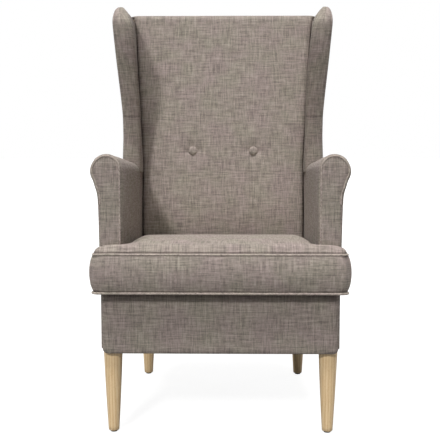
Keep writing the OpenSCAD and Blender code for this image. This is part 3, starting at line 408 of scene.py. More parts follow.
def slab(name, x0, x1, y0, y1, top, bottom, edge):
    """A flat slab with eased edges: rows along y, each a closed section. Top and bottom are heights as
    functions of y, and the corners of a section are quarter circles of the edge radius."""
    t = quarter_turn(5)[:-1]
    go, drop = edge * (1 - np.cos(t)) * 0.6, edge * (1 - np.sin(t))
    y = np.concatenate([y0 + go, np.linspace(y0 + edge, y1 - edge, 40), y1 - go[::-1]])
    draw = np.concatenate([drop, np.zeros(40), drop[::-1]])
    corner = quarter_turn(6)
    rows = []
    low, high = bottom(y) + draw, top(y) - draw
    left, right = x0 + draw, x1 - draw
    for cx, cz, quarter in ((1, 1, 0), (-1, 1, 1), (-1, -1, 2), (1, -1, 3)):
        a = corner + quarter * math.pi / 2
        px = (right if cx > 0 else left)[:, None] - cx * edge + edge * np.cos(a)
        pz = (high if cz > 0 else low)[:, None] - cz * edge + edge * np.sin(a)
        rows.append(together(px, y[:, None], pz))
    ring = np.concatenate(rows, 1)
    return lay_grid(name, ring, together(round_lengths(ring), y[:, None]), around=True, capped=True)


deck_pad = slab("deck_foam", -0.240, 0.240, -0.333, 0.196, lambda y: deck_z(y) - 0.0027,
                lambda y: deck_z(y) - 0.030, 0.008)
finished(deck_pad, foam.material, ("deck_pad",))

lining = webbing_cloth("lining_cloth", (0.012, 0.012, 0.014), (0.035, 0.035, 0.038), 0.0012)
v = np.linspace(-0.3415, 0.2130, 60)[:, None]
u = np.linspace(-1, 1, 60)[None] * (inner_x(v) - 0.0015)
ripple = 0.0007 * (1 - np.cos(u * v * 900)) / 2
deck = lay_grid("deck_cloth", together(u, v, deck_z(v) - 0.0004 - ripple), together(u, v),
                outward=(0, 0, -5), thickness=0.0015)
finished(deck, lining, ("deck_cover",))


# Border and side panels: linen tacked under the base and over the rails, so the lower edges roll under.
# The front border wraps round both front corners, where the side panels start with a butted seam.
arm_slope = math.tan(math.radians(3.3))
border_top, hem_z, hem_r = 0.366, 0.223, 0.012
# Heights of the painted shade on the border: a shadow starting under the cushion at the first, and darkening
# along the rolled hem at the second.
cushion_line, hem_line = 0.3590, 0.211
side_front, side_drop = -0.3356, 0.125
sides = ((-1, "left"), (1, "right"))


def set_painted_shade(piece, values):
    """Marks painted shade at each point, from 0 to 1, where shade falls at seams, joints and under the cushion.
    """
    layer = piece.data.attributes.new("painted_shade", "FLOAT", "POINT")
    layer.data.foreach_set("value", np.asarray(values, "f").ravel())


def ease(x):
    """Smooth step from 0 to 1."""
    x = np.clip(x, 0, 1)
    return x * x * (3 - 2 * x)


def run(y):
    """Share of the way from the arms' front to the rear."""
    return (y - arm_front) / 0.630


def side_x(y):
    """Outside face of the base, drawn in towards the rear."""
    return 0.297 - 0.021 * run(y)


def arm_top(y):
    """Top of an arm, falling to the rear."""
    return 0.711 - arm_slope * (y - arm_front)


def rear_line(z):
    """Rear of the chair: upright below the bend, then leaning back."""
    return 0.285 + np.maximum(0, z - bend_z) * recline


def to_rear(y, z):
    """Draws the last 80 mm of a side out to the leaning rear of the chair."""
    return y + (rear_line(z) - 0.2850) * np.clip((y - 0.200) / 0.081, 0, 1)


def swell(y, z):
    """How far the padded outside of an arm stands out at each height, fading to nothing at the rear."""
    out = np.interp(z, (0.36, 0.45, 0.50, 0.55, 0.60, 0.63, 0.66, 0.69, 0.72),
                    (0, 0.0040, 0.0050, 0.0060, 0.0075, 0.0095, 0.0048, 0.0010, 0))
    return out * (1 - ease(run(y) / 0.9))


def slack(u, v, size):
    """Slow waves of a stretched cloth: size times a sum of three crossing sines."""
    return size * (np.sin(17 * u + 9 * v) + np.sin(31 * v - 11 * u + 1.3)
                   + 0.7 * np.sin(47 * u + 23 * v + 2.1)) / 2.7


def border_row(inset):
    """Plan of the border, drawn in by inset: left return, round corner, front, round corner, return."""
    r = 0.0145 - inset
    t = quarter_turn(7)
    x, y = side_x(-0.331) - inset, arm_front + 0.4 * inset
    cx = x - r
    left = np.stack([-cx - r * np.cos(t), y + r - r * np.sin(t)], -1)
    front = np.stack([np.linspace(-cx, cx, 90)[1:-1], np.full(88, y)], -1)
    right = np.stack([cx + r * np.sin(t), y + r - r * np.cos(t)], -1)
    return np.concatenate([[[-x, -0.331]], left, front, right, [[x, -0.331]]])


roll = quarter_turn(7)
hem_down, hem_in = hem_r * np.sin(roll[1:]), hem_r * (1 - np.cos(roll[1:]))
levels = np.concatenate([np.linspace(border_top, hem_z, 34), hem_z - hem_down])
insets = np.concatenate([np.zeros(34), hem_in])
plan = np.stack([border_row(inset) for inset in insets])
points = np.concatenate([plan, np.broadcast_to(levels[:, None, None], (*plan.shape[:2], 1))], -1)
points[..., 1] -= slack(points[..., 0], points[..., 2], 0.0006) * (points[..., 1] < -0.344)
along = round_lengths(plan[:1])[0, :-1]
border = lay_grid("front_border_cloth", points, together(along, levels[:, None]),
                  outward=(0, 0, 0.3), thickness=0.0028)
# Painted shade: darkest right under the cushion and fading within a few millimetres, and darker again towards
# the rolled hem.
shade = (0.95 * np.exp(-np.maximum(0, cushion_line - levels) / 0.0065)
         + 0.6 * np.exp(-(levels - hem_line) / 0.004))
set_painted_shade(border, shade[:, None] + 0 * points[..., 0])
finished(border, linen, ("front_border",))

for side, name in sides:
    y = np.concatenate([-0.3436 + 0.008 * (1 - np.cos(roll[:-1])),
                        np.linspace(side_front, 0.2817, 80)])[:, None]
    top = arm_top(y) - side_drop
    up = np.linspace(0, 1, 50)[None]
    z = np.concatenate([hem_z + (top - hem_z) * (1 - up), hem_z - hem_down + 0 * y], 1)
    draw = np.concatenate([0 * z[:, :50], hem_in + 0 * y], 1)
    draw = draw + 0.008 * (1 - np.sqrt(1 - np.clip((side_front - y) / 0.0081, 0, 1) ** 2))
    draw = draw + 0.0042 * (y < -0.3295) * ease((0.3685 - z) / 0.002)
    x = side_x(y) - draw + slack(y, z, 0.0006) + swell(y, z)
    panel = lay_grid(f"side_panel_{name}_cloth", together(side * x, to_rear(y, z), z), together(y, z),
                     outward=(0, 0, 0.3), thickness=0.0028)
    finished(panel, linen, (f"side_panel_{name}",))


# Dust cover: thin black lining that closes the base from below. Its raw edges are turned in and stapled
# to the rails, and it hangs a little at its middle.
u = np.linspace(-1, 1, 50)[None]
y = np.linspace(-0.334, 0.280, 50)[:, None]
x = u * (side_x(y) - 0.006)
z = 0.2140 - 0.0008 * (1 - u ** 8) * (1 - (2 * (y + 0.027) / 0.614) ** 8)
dust = lay_grid("dust_cloth", together(x, y, z), together(x, y), outward=(0, 0, 1), thickness=0.0008)
finished(dust, lining, ("dust_cover",))


# Arms: a padded scroll over the arm rail. The cover runs from the deck up the inside, over the scroll
# and down to the hollow outside, and turns over its front edge to the facing.
neck_r, arm_middle, lip = 0.090, 0.281, 0.0085
facing_foot, facing_edge = 0.3665, 0.0056


def scroll_r(y):
    """Radius of an arm's scroll, from its inside face to its widest point."""
    return (0.319 - 0.010 * run(y) - inner_x(y)) / 2


def arm_section(y, inset=0.0, foot=0.339, n=(14, 30, 10, 4)):
    """Section of an arm at each y: a line up the inside, an arc of radius r over the scroll to angle a,
    then the hollow, an arc of radius neck_r tangent to both. Inset draws all of it in."""
    y = np.atleast_1d(np.asarray(y, float))[:, None]
    r, cx = scroll_r(y), inner_x(y) + scroll_r(y)
    cz = arm_top(y) - r
    nx = side_x(y) + neck_r
    nz = cz - np.sqrt((r + neck_r) ** 2 - (nx - cx) ** 2)
    a = np.arctan2(nz - cz, nx - cx)
    inset = np.asarray(inset, float).reshape(-1, 1)
    s = np.linspace(0, 1, n[0], endpoint=False)[None]
    foot_x, foot_z = inner_x(y) + inset + 0 * s, foot + (cz - foot) * s
    t = math.pi + (a - math.pi) * np.linspace(0, 1, n[1])[None]
    arc_x, arc_z = cx + (r - inset) * np.cos(t), cz + (r - inset) * np.sin(t)
    t = a + math.pi - a * np.linspace(0, 1, n[2] + 1)[None, 1:]
    neck_x, neck_z = nx + (neck_r + inset) * np.cos(t), nz + (neck_r + inset) * np.sin(t)
    s = np.linspace(0, 1, n[3] + 1)[None, 1:]
    low_x, low_z = side_x(y) - inset + 0 * s, nz + (arm_top(y) - side_drop - nz) * s
    x = np.concatenate([foot_x, arc_x, neck_x, low_x], 1)
    z = np.concatenate([foot_z, arc_z, neck_z, low_z], 1)
    return x + swell(y, z) * ease((x - cx + 0.004) / 0.02), z


def mirrored(points, side):
    """The same points on the left of the chair for a side of -1, and as they are for 1."""
    return points * (side, 1, 1)


def tube(path, radius, sides=10, closed=False, flat_to=(0, 1, 0)):
    """Rings round a path: radius times (cos t out + sin t side), where side is the given normal and out
    is square to it and to the path. Returns points and a weave in metres, along and round."""
    ahead = np.roll(path, -1, 0) - np.roll(path, 1, 0)
    if not closed:
        ahead[0], ahead[-1] = path[1] - path[0], path[-1] - path[-2]
    ahead /= np.linalg.norm(ahead, axis=1, keepdims=True)
    side = np.asarray(flat_to, float) - ahead * (ahead @ flat_to)[:, None]
    side /= np.linalg.norm(side, axis=1, keepdims=True)
    out = np.cross(ahead, side)
    t = np.linspace(0, 2 * math.pi, sides + 1)[:, None]
    ring = path[:, None] + radius * (np.cos(t) * out[:, None] + np.sin(t) * side[:, None])
    along = round_lengths(path[None])[0]
    if closed:
        ring = np.concatenate([ring, ring[:1]])
    return ring[:, :-1], together(along[: len(ring), None], t[:, 0] * radius)


turn = quarter_turn(8)
arm_y = np.concatenate([arm_front + 0.0040 + lip * (1 - np.cos(turn)) * 0.6, np.linspace(-0.334, 0.281, 64)])
arm_in = np.concatenate([lip * (1 - np.sin(turn)), np.zeros(64)])

for side, name in sides:
    x, z = arm_section(arm_y, arm_in)
    y = arm_y[:, None] + 0 * x
    soft = ease((y - arm_front) / 0.05) * (z > 0.5)
    x = x + slack(y * 1.7, z * 1.3, 0.0007) * soft * np.sign(x - arm_middle)
    z = z + slack(y * 1.3, x * 2.0, 0.0006) * soft
    under_x, under_z = arm_section(arm_y, arm_in + 0.0093)
    ring = np.concatenate([together(x, y, z), together(under_x, y, under_z)[:, ::-1]], 1)
    ring[..., 1] = to_rear(ring[..., 1], ring[..., 2])
    weave = together(arm_y[:, None], round_lengths(ring)[len(arm_y) // 2])
    arm = lay_grid(f"arm_upholstery_{name}", mirrored(ring, side), weave, around=True, capped=True)
    finished(arm, linen, (f"arm_cover_{name}", f"arm_pad_{name}"))

    # Facing: a flat board covered in linen, nailed on the front of the arm inside its piping
    line_x, line_z = (line[0] for line in arm_section(arm_front, facing_edge, facing_foot, (60, 60, 30, 30)))
    peak = int(np.argmax(line_z))
    heights = np.concatenate([line_z[peak] - 0.030 * (1 - np.cos(quarter_turn(24))),
                              np.linspace(line_z[peak] - 0.030, facing_foot, 70)[1:]])
    left = np.interp(heights, line_z[: peak + 1], line_x[: peak + 1])
    right = np.interp(heights, line_z[peak:][::-1], line_x[peak:][::-1])
    u = np.linspace(0, 1, 25)[None]
    x, z = left[:, None] + (right - left)[:, None] * u, heights[:, None]
    puff = 0.0030 * (1 - np.abs(2 * u - 1) ** 4) * np.clip((line_z[peak] - z) / 0.02, 0, 1) ** 0.5
    y = -0.3432 - puff + 0.0003 * np.sin(70 * z + 3 * u)
    facing = lay_grid(f"arm_facing_{name}_cloth", mirrored(together(x, y, z), side), together(x, z),
                      outward=(0, 0, 0.5), thickness=0.0022)
    finished(facing, linen, (f"arm_facing_{name}",))

    # Piping: a cord in a folded strip cut on the bias, sewn round the facing
    line_x, line_z = arm_section(arm_front, facing_edge, 0.3655, (60, 60, 24, 40))
    ring, weave = tube(together(side * line_x[0], -0.3434, line_z[0]), 0.0024, 10)
    piping = lay_grid(f"arm_piping_{name}_cord", ring, weave, around=True, capped=True)
    finished(piping, piping_cloth, (f"arm_piping_{name}",))


# Wings: padded boards that stand on the arms and close the back at each side. The front band is a strip
# of its own with a cross seam at 0.82, where the board starts to lean out. The top is a rounded tongue.
back_slope = math.tan(math.radians(10.01))


def arm_height(x, y):
    """Top of an arm over (x, y): its scroll's circle, level with its centre beyond the inner edge."""
    r = scroll_r(y)
    cx = inner_x(y) + r
    return arm_top(y) - r + np.sqrt(np.maximum(0, r ** 2 - np.minimum(r, np.abs(x - cx)) ** 2))


def back_front(z):
    """Face of the back between the wings: upright behind the cushion, then leaning back."""
    return 0.200 + np.maximum(0, z - 0.446) * back_slope


def wing_nose(z):
    """Front of the wing: from 0.486 behind the arm fronts at the foot out to 0.388 and back to 0.490,
    along half cosines of the height."""
    s = np.clip((z - wing_foot_z) / wing_height, 0, 1)
    low = s < 0.86
    up = np.where(low, s / 0.86, (1 - s) / 0.14)
    rise = (1 - np.cos(math.pi * up)) / 2
    rise = np.where(low, rise ** 1.5, rise ** 0.45)
    end = np.where(low, 0.486, 0.490)
    return arm_front + end + (0.388 - end) * rise


band_z = (0.60, 0.69, 0.75, 0.82, 0.88, 0.95, 1.02, 1.06, 1.08, 1.10, 1.12, 1.135, 1.146, 1.152)
band_out = (0.3062, 0.3052, 0.3026, 0.3022, 0.3055, 0.3097, 0.3140, 0.3170, 0.3187, 0.3195, 0.3190, 0.3180,
            0.3140, 0.3095)
band_in = (0.2505, 0.2505, 0.2497, 0.2490, 0.2490, 0.2500, 0.2540, 0.2572, 0.2600, 0.2665, 0.2780, 0.2890,
           0.2990, 0.3060)


def eased(z, places, width=0.012):
    """A table over the height, averaged over a short stretch so that it has no corners."""
    return np.mean([np.interp(z + width * k, band_z, places) for k in np.linspace(-1, 1, 9)], 0)


def wing_plan(z, e):
    """Plan of a wing at height z, drawn in by e: inside face forward, round the nose and back outside."""
    z = np.asarray(z, float)[:, None]
    e = np.asarray(e, float)[:, None]
    x_in, x_out = eased(z, band_in), eased(z, band_out)
    nose = wing_nose(z) + e
    rear = rear_line(z) - e * 0.5
    r = np.minimum(0.019, (x_out - x_in) / 2.02)
    t = quarter_turn(11)[None]
    go = np.linspace(0, 1, 40, endpoint=False)[None]
    y_in = np.minimum(back_front(z) + 0.012, rear - 0.004)
    inside_y = y_in + (nose + r - y_in) * go
    meets = np.maximum(np.minimum(back_half(z) - 0.001, x_out - 0.012), x_in)
    inside_x = meets + (x_in - meets) * go ** 1.3 - 0.0015 * np.sin(math.pi * go)
    turn_x, turn_y = x_in + r - r * np.cos(t) ** 0.9, nose + r - r * np.sin(t) ** 0.9
    mid = np.linspace(0, 1, 9)[None, 1:-1]
    band_x = x_in + r + (x_out - x_in - 2 * r) * mid
    band_y = nose - 0.0025 * np.sin(math.pi * mid)
    last_x, last_y = x_out - r + r * np.sin(t) ** 0.9, nose + r - r * np.cos(t) ** 0.9
    back = np.linspace(0, 1, 41)[None, 1:]
    outside_y = nose + r + (rear - nose - r) * back
    draw = 0.001 + 0.007 * ease((z - 0.80) / 0.25)
    outside_x = x_out - draw * back + 0.0012 * np.sin(math.pi * back)
    return (np.concatenate([inside_x, turn_x, band_x, last_x, outside_x], 1),
            np.concatenate([inside_y, turn_y, band_y, last_y, outside_y], 1))


crown = quarter_turn(13)[1:]
wing_rows = np.concatenate([np.linspace(0, 1, 120), np.ones(12)])
wing_draw = np.concatenate([np.zeros(120), 0.024 * (1 - np.cos(crown))])
seam_z, tongue_z = 0.820, 1.126
for side, name in sides:
    x0, y0 = wing_plan(np.full(132, 0.690), wing_draw)
    foot = arm_height(x0, y0) - 0.0015
    z = foot + (tongue_z - foot) * wing_rows[:, None]
    z[120:] = tongue_z + 0.0225 * np.sin(crown)[:, None]
    level = z.mean(1)
    x, y = wing_plan(level, wing_draw)
    level_nose = wing_nose(level)[:, None]
    y = y + (wing_nose(z) - level_nose) * (1 - ease((y - level_nose) / 0.16))
    band = ease((0.020 - (y - wing_nose(z))) / 0.008)
    groove = np.exp(-((z - seam_z) / 0.0022) ** 2) * band
    pulls = np.sin(x * 420 + 5) * np.exp(-np.maximum(0, seam_z - z) / 0.012) * (z < seam_z) * band
    y = y + 0.0022 * groove + 0.0006 * pulls
    x = x + np.sign(x - arm_middle) * slack(y * 1.6, z * 1.1, 0.0008) * ease((y - wing_nose(z) - 0.012) / 0.02)
    closing = np.stack([np.linspace(line[:, -1], line[:, 0], 6)[1:-1].T for line in (x, y, z)], -1)
    ring = np.concatenate([together(x, y, z), closing], 1)
    weave = together(round_lengths(ring)[60], np.concatenate([z, z[:, -1:] + 0 * closing[..., 2], z[:, :1]], 1))
    wing = lay_grid(f"wing_upholstery_{name}", mirrored(ring, side), weave, around=True, capped=True)
    # Painted shade: darker in the groove of the cross seam and along the foot, where the wing meets the arm.
    dark = np.concatenate([np.maximum(groove * 0.6, ease((0.006 - (z - foot)) / 0.006) * 0.7),
                           np.zeros(closing.shape[:2])], 1)
    set_painted_shade(wing, dark)
    finished(wing, linen, (f"wing_cover_{name}", f"wing_pad_{name}"))


# Inside back: linen over foam, crowned across and up, with two buttons pulled in on ties. It turns over
# the top rail and back at its sides, into the creases along the wings.
button_x, button_z, back_top, edge = 0.095, 0.717, 1.151, 0.018


def tuft(x, z):
    """Dimple of the two buttons: a sharp cone in a soft bowl, with faint pleats that fade outwards."""
    dx, dz = np.abs(x) - button_x, z - button_z
    d = np.hypot(dx, dz)
    angle = np.arctan2(dz, dx)
    bowl = 0.0060 * np.exp(-(d / 0.030) ** 2) + 0.0032 * np.exp(-d / 0.011)
    pleats = 0.0009 * np.cos(4 * angle + 0.6) * np.exp(-((d - 0.022) / 0.014) ** 2)
    return bowl + pleats


def spread(low, high, n, gather, width):
    """n places from low to high, closer together near each place in gather."""
    t = np.linspace(low, high, 4000)
    weight = 1 + sum(5 * np.exp(-((t - place) / width) ** 2) for place in gather)
    total = np.concatenate([[0], np.cumsum((weight[1:] + weight[:-1]) / 2 * np.diff(t))])
    return np.interp(np.linspace(0, total[-1], n), total, t)


up = spread(0.345, back_top - edge, 150, (button_z,), 0.03)
over_top = quarter_turn(12)[1:]
cross = spread(-1, 1, 150, (-0.36, 0.36), 0.11)
z = np.concatenate([up, back_top - edge + edge * np.sin(over_top), np.full(6, back_top)])[:, None]
deep = np.concatenate([0 * up, edge * (1 - np.cos(over_top)), edge + np.linspace(0, 0.046, 7)[1:]])[:, None]
narrow = 0.12 * deep * (deep < 0.03)
wider = (0.003 * ease((z - 1.10) / 0.03)
         + 0.011 * ease((deep - 0.001) / 0.012) * (1 - ease((deep - 0.044) / 0.014)))
x = cross[None] * (back_half(z) + wider - narrow)
s = np.clip((z - 0.446) / (1.133 - 0.446), 0, 1)
belly = 0.009 * np.sin(math.pi * s) ** 0.7 * (1 - np.abs(cross[None]) ** 4)
turn_in = 0.012 * np.clip((np.abs(cross[None]) - 0.93) / 0.07, 0, 1) ** 2
tuck = 0.014 * np.clip((0.580 - z) / 0.125, 0, 1) ** 2
round_off = 0.0020 * np.clip((np.abs(cross[None]) - 0.91) / 0.09, 0, 1) ** 2 * ease((z - 1.04) / 0.09)
y = back_front(z) + deep - belly * (deep == 0) + tuft(x, z) + turn_in + tuck
y = np.minimum(y + slack(x, z, 0.0007), rear_line(z) - 0.0045)
steps = np.concatenate([[0], np.cumsum(np.hypot(np.diff(z[:, 0]), np.diff(deep[:, 0])))])[:, None]
back = lay_grid("inside_back_upholstery", together(x, y, z - round_off), together(x, steps),
                outward=(0, 2, 0.7))
wall = back.modifiers.new("padding", "SOLIDIFY")
wall.thickness, wall.offset = 0.016, -1
# Painted shade: darker towards each side, where the back turns into the creases along the wings.
set_painted_shade(back, np.clip((np.abs(cross[None]) - 0.965) / 0.035, 0, 1) ** 1.5 * 0.6 + 0 * z)
finished(back, linen, ("inside_back_cover", "back_foam"))


# Buttons: tin shells covered in the same linen, drawn into the foam by their ties. The linen is
# gathered under each rim, which leaves small pleats there.
for side, name in sides:
    r = np.array([0.0002, 0.0040, 0.0075, 0.0105, 0.0128, 0.0141, 0.0145, 0.0142, 0.0130, 0.0100, 0.0002])
    h = np.array([0.0072, 0.0070, 0.0064, 0.0053, 0.0037, 0.0019, 0.0002, -0.0012, -0.0021, -0.0025, -0.0027])
    t = np.linspace(0, 2 * math.pi, 41)
    pleat = 1 + 0.012 * np.cos(14 * t) * (r[:, None] > 0.012)
    px, pz = r[:, None] * np.cos(t) * pleat, r[:, None] * np.sin(t) * pleat
    py = -h[:, None]
    c, s = math.cos(math.radians(10)), math.sin(math.radians(10))
    seat = float(back_front(button_z)) - 0.009 * 0.93 + 0.0075
    points = together(side * button_x + px, seat + py * c + pz * s, button_z + pz * c - py * s)
    button = lay_grid(f"back_button_{name}", points[:, :-1], together(px, pz), around=True, capped=True)
    finished(button, linen, ("back_buttons",))


# Outside back: one flat panel of linen over the posts, tacked under the base and slip-stitched to the
# wings and arms, so its edges roll in.
def panel_half(z):
    """Half width of the outside back: straight up to the arm, out over the scroll, then the wing."""
    arm_z, wing_z = 0.655, 0.684
    line_x, line_z = arm_section(0.285, 0.0)
    lower = np.interp(z, line_z[0][::-1][:30], line_x[0][::-1][:30])
    upper = eased(z, band_out) - 0.001 - 0.007 * ease((z - 0.80) / 0.25)
    above = np.where(z < wing_z, np.maximum(lower, upper), upper)
    return np.where(z < arm_z, np.maximum(lower, 0.276), above)


z = np.concatenate([0.213 + 0.004 * (1 - np.cos(roll)), np.linspace(0.217, 0.58, 40)[1:],
                    np.linspace(0.58, 0.70, 50)[1:], np.linspace(0.70, 1.127, 50)[1:],
                    1.127 + 0.024 * np.sin(crown)])[:, None]
hem = 0.02 * (1 - np.cos(roll))
u = np.concatenate([-1 + hem[:-1], np.linspace(-0.98, 0.98, 70), (1 - hem)[::-1][1:]])[None]
x = u * panel_half(z)
turned_in = (np.clip((np.abs(u) - 0.98) / 0.02, 0, 1) ** 2 + np.clip((0.2165 - z) / 0.0035, 0, 1) ** 2) * 0.003
y = rear_line(z) - turned_in - 0.0006 + slack(x * 0.8, z * 0.7, 0.0005)
panel = lay_grid("outside_back_cloth", together(x, y, z), together(x, z), outward=(0, -5, 0), thickness=0.0026)
finished(panel, linen, ("outside_back_panel",))


# Seat cushion: a foam core in a linen case, T-shaped, with ears in front of the arms. Top and bottom
# panels are sewn to the boxing over piping, and a zip runs along the rear.
body_half, ear_half = 0.2403, 0.3092
rear_y, ear_y, front_y = 0.184, -0.348, -0.3756
rear_r, front_r = 0.022, 0.013
boxing, seat_gap, ear_line = 0.0990, 0.0027, -0.3475


def outline(spacing=0.005):
    """The T as a closed path from its right rear corner: straight runs joined by arcs of each corner's
    own radius. Returns the points and their outward normals."""
    corners = [(body_half, rear_y, rear_r), (body_half, ear_y, 0.0035), (ear_half, ear_y, 0.008),
               (ear_half, front_y, front_r)]
    corners = corners + [(-x, y, r) for x, y, r in corners[::-1]]
    place = np.array([c[:2] for c in corners])
    radius = np.array([c[2] for c in corners])
    points, normals = [], []
    for i in range(len(corners)):
        after_i = (i + 1) % len(corners)
        before, here, after = place[i - 1], place[i], place[after_i]
        a, b = (before - here) / np.linalg.norm(before - here), (after - here) / np.linalg.norm(after - here)
        turn = -a[0] * b[1] + a[1] * b[0]
        centre = here + radius[i] * (a + b)
        t = quarter_turn(7)[:, None]
        arc = centre - radius[i] * (b * np.cos(t) + a * np.sin(t))
        out = (b * np.cos(t) + a * np.sin(t)) * np.sign(turn)
        points.append(arc)
        normals.append(out)
        start = arc[-1]
        after_start = after + radius[after_i] * (here - after) / np.linalg.norm(here - after)
        count = max(2, int(np.linalg.norm(after_start - start) / spacing))
        s = np.linspace(0, 1, count + 1)[1:-1, None]
        points.append(start + (after_start - start) * s)
        normals.append(np.repeat(out[-1:], count - 1, 0))
    return np.concatenate(points), np.concatenate(normals)


rim, rim_out = outline()
rim_low = deck_z(rim[:, 1]) + seat_gap
rim_along = round_lengths(rim[None])[0]
ahead = ease((-0.350 - rim[:, 1]) / 0.005)[:, None]
for name, r, lift, out, side_lift, side_out in (("top", 0.0022, 0.0957, 0.0040, 0.0980, 0.0010),
                                                ("bottom", 0.0030, 0.0004, 0.0056, 0.0014, 0.0008)):
    path = np.column_stack([rim + rim_out * (side_out + (out - side_out) * ahead),
                            rim_low + side_lift + (lift - side_lift) * ahead[:, 0]])
    ring, weave = tube(path, r, 12, closed=True, flat_to=(0, deck_slope, 1))
    cord = lay_grid(f"cushion_piping_{name}_cord", ring, weave, around=True)
    finished(cord, piping_cloth, (f"cushion_piping_{name}",), "seat_cushion")


def half_width(y, e):
    """Half width of the T at y, drawn in by e, less the rounding of its corners."""
    half = np.where(y > ear_line, body_half, ear_half) - e
    for gap, r in ((rear_y - e - y, rear_r), (y - front_y - e, front_r)):
        half = half - np.where(gap < r, r - np.sqrt(np.clip(r ** 2 - (r - gap) ** 2, 0, None)), 0)
    return half


def roll_over(gap, width):
    """Quarter circle: from 0 at a seam to 1 at the given width from it."""
    return np.sqrt(1 - (1 - np.clip(gap / width, 0, 1)) ** 2)


def dome(x, y):
    """Height of the top panel over its seams: the crown, 25 mm at the front and falling to the rear,
    times a quarter circle at each seam. The ears stand up at their ends, and one rear side sags."""
    sag = 0.0045 * ease((-0.06 - x) / 0.17) * ease((y + 0.10) / 0.25)
    x = np.abs(x)
    crown_h = 0.0247 - 0.0195 * ease((y + 0.16) / 0.42) - sag
    ear = 0.38 * roll_over(ear_half - x, 0.006) + 0.62 * roll_over(ear_half - x, 0.070)
    notch = roll_over(np.hypot(np.maximum(0, body_half - x), np.maximum(0, ear_y - y)), 0.016)
    return crown_h * notch * roll_over(y - front_y, 0.017) * roll_over(rear_y - y, 0.030) * ear


quarter = quarter_turn(9)
rows_y = np.concatenate([rear_y - rear_r * (1 - np.cos(quarter)),
                         np.linspace(rear_y - rear_r, -0.3470, 100)[1:],
                         np.linspace(ear_y, front_y + front_r, 6), front_y + front_r * np.cos(quarter)[1:]])
u_go = np.sin(np.linspace(-math.pi / 2, math.pi / 2, 121)) * 0.6 + np.linspace(-1, 1, 121) * 0.4


def case_block(name, bulge, nose_out, crown_share):
    """A closed case as upright sections from rear to front: flat bottom, swelling walls, domed top. The
    nose is the front section again, moved forward and lowered as a quarter circle."""
    y = rows_y[:, None]
    half = half_width(y, 0.0005)
    low = deck_z(y) + 0.0012
    seam_low, high = deck_z(y) + seat_gap, deck_z(y) + seat_gap + boxing
    s = np.linspace(0, 1, 16)[None, 1:-1]
    out = bulge * np.sin(math.pi * s) ** 0.5 * np.where(y < ear_line, 1.0, 0.10)
    across = u_go[None] * half
    top = high + crown_share * dome(across, y)
    wall = together(half + out, y, seam_low + (high - seam_low) * s)
    ring = np.concatenate([together(across, y, low), wall, together(across, y, top)[:, ::-1],
                           mirrored(wall, -1)[:, ::-1]], 1)
    nose = []
    middle = (seam_low[-1] + high[-1]) / 2
    for k in (0.3, 0.6, 0.85, 0.97):
        step = ring[-1:].copy()
        step[..., 1] -= nose_out * k
        step[..., 2] = middle + (step[..., 2] - middle) * math.sqrt(1 - k ** 2)
        nose.append(step)
    ring = np.concatenate([ring] + nose)
    return lay_grid(name, ring, np.zeros((ring.shape[0], ring.shape[1] + 1, 2)), around=True, capped=True)


cushion = case_block("seat_cushion_case", 0.0150, 0.0122, 0.97)
remesh = cushion.modifiers.new("even", "REMESH")
remesh.mode = "VOXEL"
remesh.voxel_size = 0.0058
bpy.context.view_layer.objects.active = cushion
cushion.select_set(True)
bpy.ops.object.modifier_apply(modifier="even")


def read(items, key, kind="i", width=1):
    """One property of all vertices, corners or faces, as an array."""
    values = np.empty(len(items) * width, kind)
    items.foreach_get(key, values)
    return values


def coordinates(piece):
    return read(piece.data.vertices, "co", "f", 3).reshape(-1, 3).astype(float)


def nearest(places, path):
    """Index of the nearest point of a path, and how far it is, for each place."""
    best, found = np.full(len(places), 9.0), np.zeros(len(places), int)
    for start in range(0, len(places), 4000):
        gap = np.linalg.norm(places[start:start + 4000, None] - path[None], axis=2)
        found[start:start + 4000] = gap.argmin(1)
        best[start:start + 4000] = gap.min(1)
    return found, best


at_rest = coordinates(cushion)
seams = np.concatenate([np.column_stack([rim + 0.001 * rim_out, rim_low + lift]) for lift in (0.0, boxing)])
seam_index, seam_gap = nearest(at_rest, seams)
held = cushion.vertex_groups.new(name="sewn")
for index in np.flatnonzero(seam_gap < 0.008):
    held.add([int(index)], 1.0, "REPLACE")
under = np.flatnonzero(at_rest[:, 2] < deck_z(at_rest[:, 1]) + 0.004)
held.add([int(index) for index in under], 1.0, "REPLACE")
cloth = cushion.modifiers.new("stuffing", "CLOTH")
for key, value in dict(vertex_group_mass="sewn", use_pressure=True, uniform_pressure_force=4,
                       tension_stiffness=12, compression_stiffness=12, bending_stiffness=0.6,
                       quality=6, mass=0.3).items():
    setattr(cloth.settings, key, value)
cloth.settings.effector_weights.gravity = 0
cloth.collision_settings.use_collision = False
for number in range(1, 21):
    bpy.context.scene.frame_set(number)
bpy.ops.object.modifier_apply(modifier="stuffing")
bpy.context.scene.frame_set(1)
moved = coordinates(cushion) - at_rest
reach = np.linalg.norm(moved, axis=1)
limit = np.where(at_rest[:, 1] > arm_front, np.where(np.abs(at_rest[:, 0]) > 0.235, 0.0012, 0.004), 0.003)
moved *= (np.minimum(reach, limit) / np.maximum(reach, 1e-6))[:, None]
cushion.data.vertices.foreach_set("co", (at_rest + moved).ravel().astype("f"))
cushion.vertex_groups.clear()
smooth = cushion.modifiers.new("finer", "SUBSURF")
smooth.levels = smooth.render_levels = 1
bpy.ops.object.modifier_apply(modifier="finer")


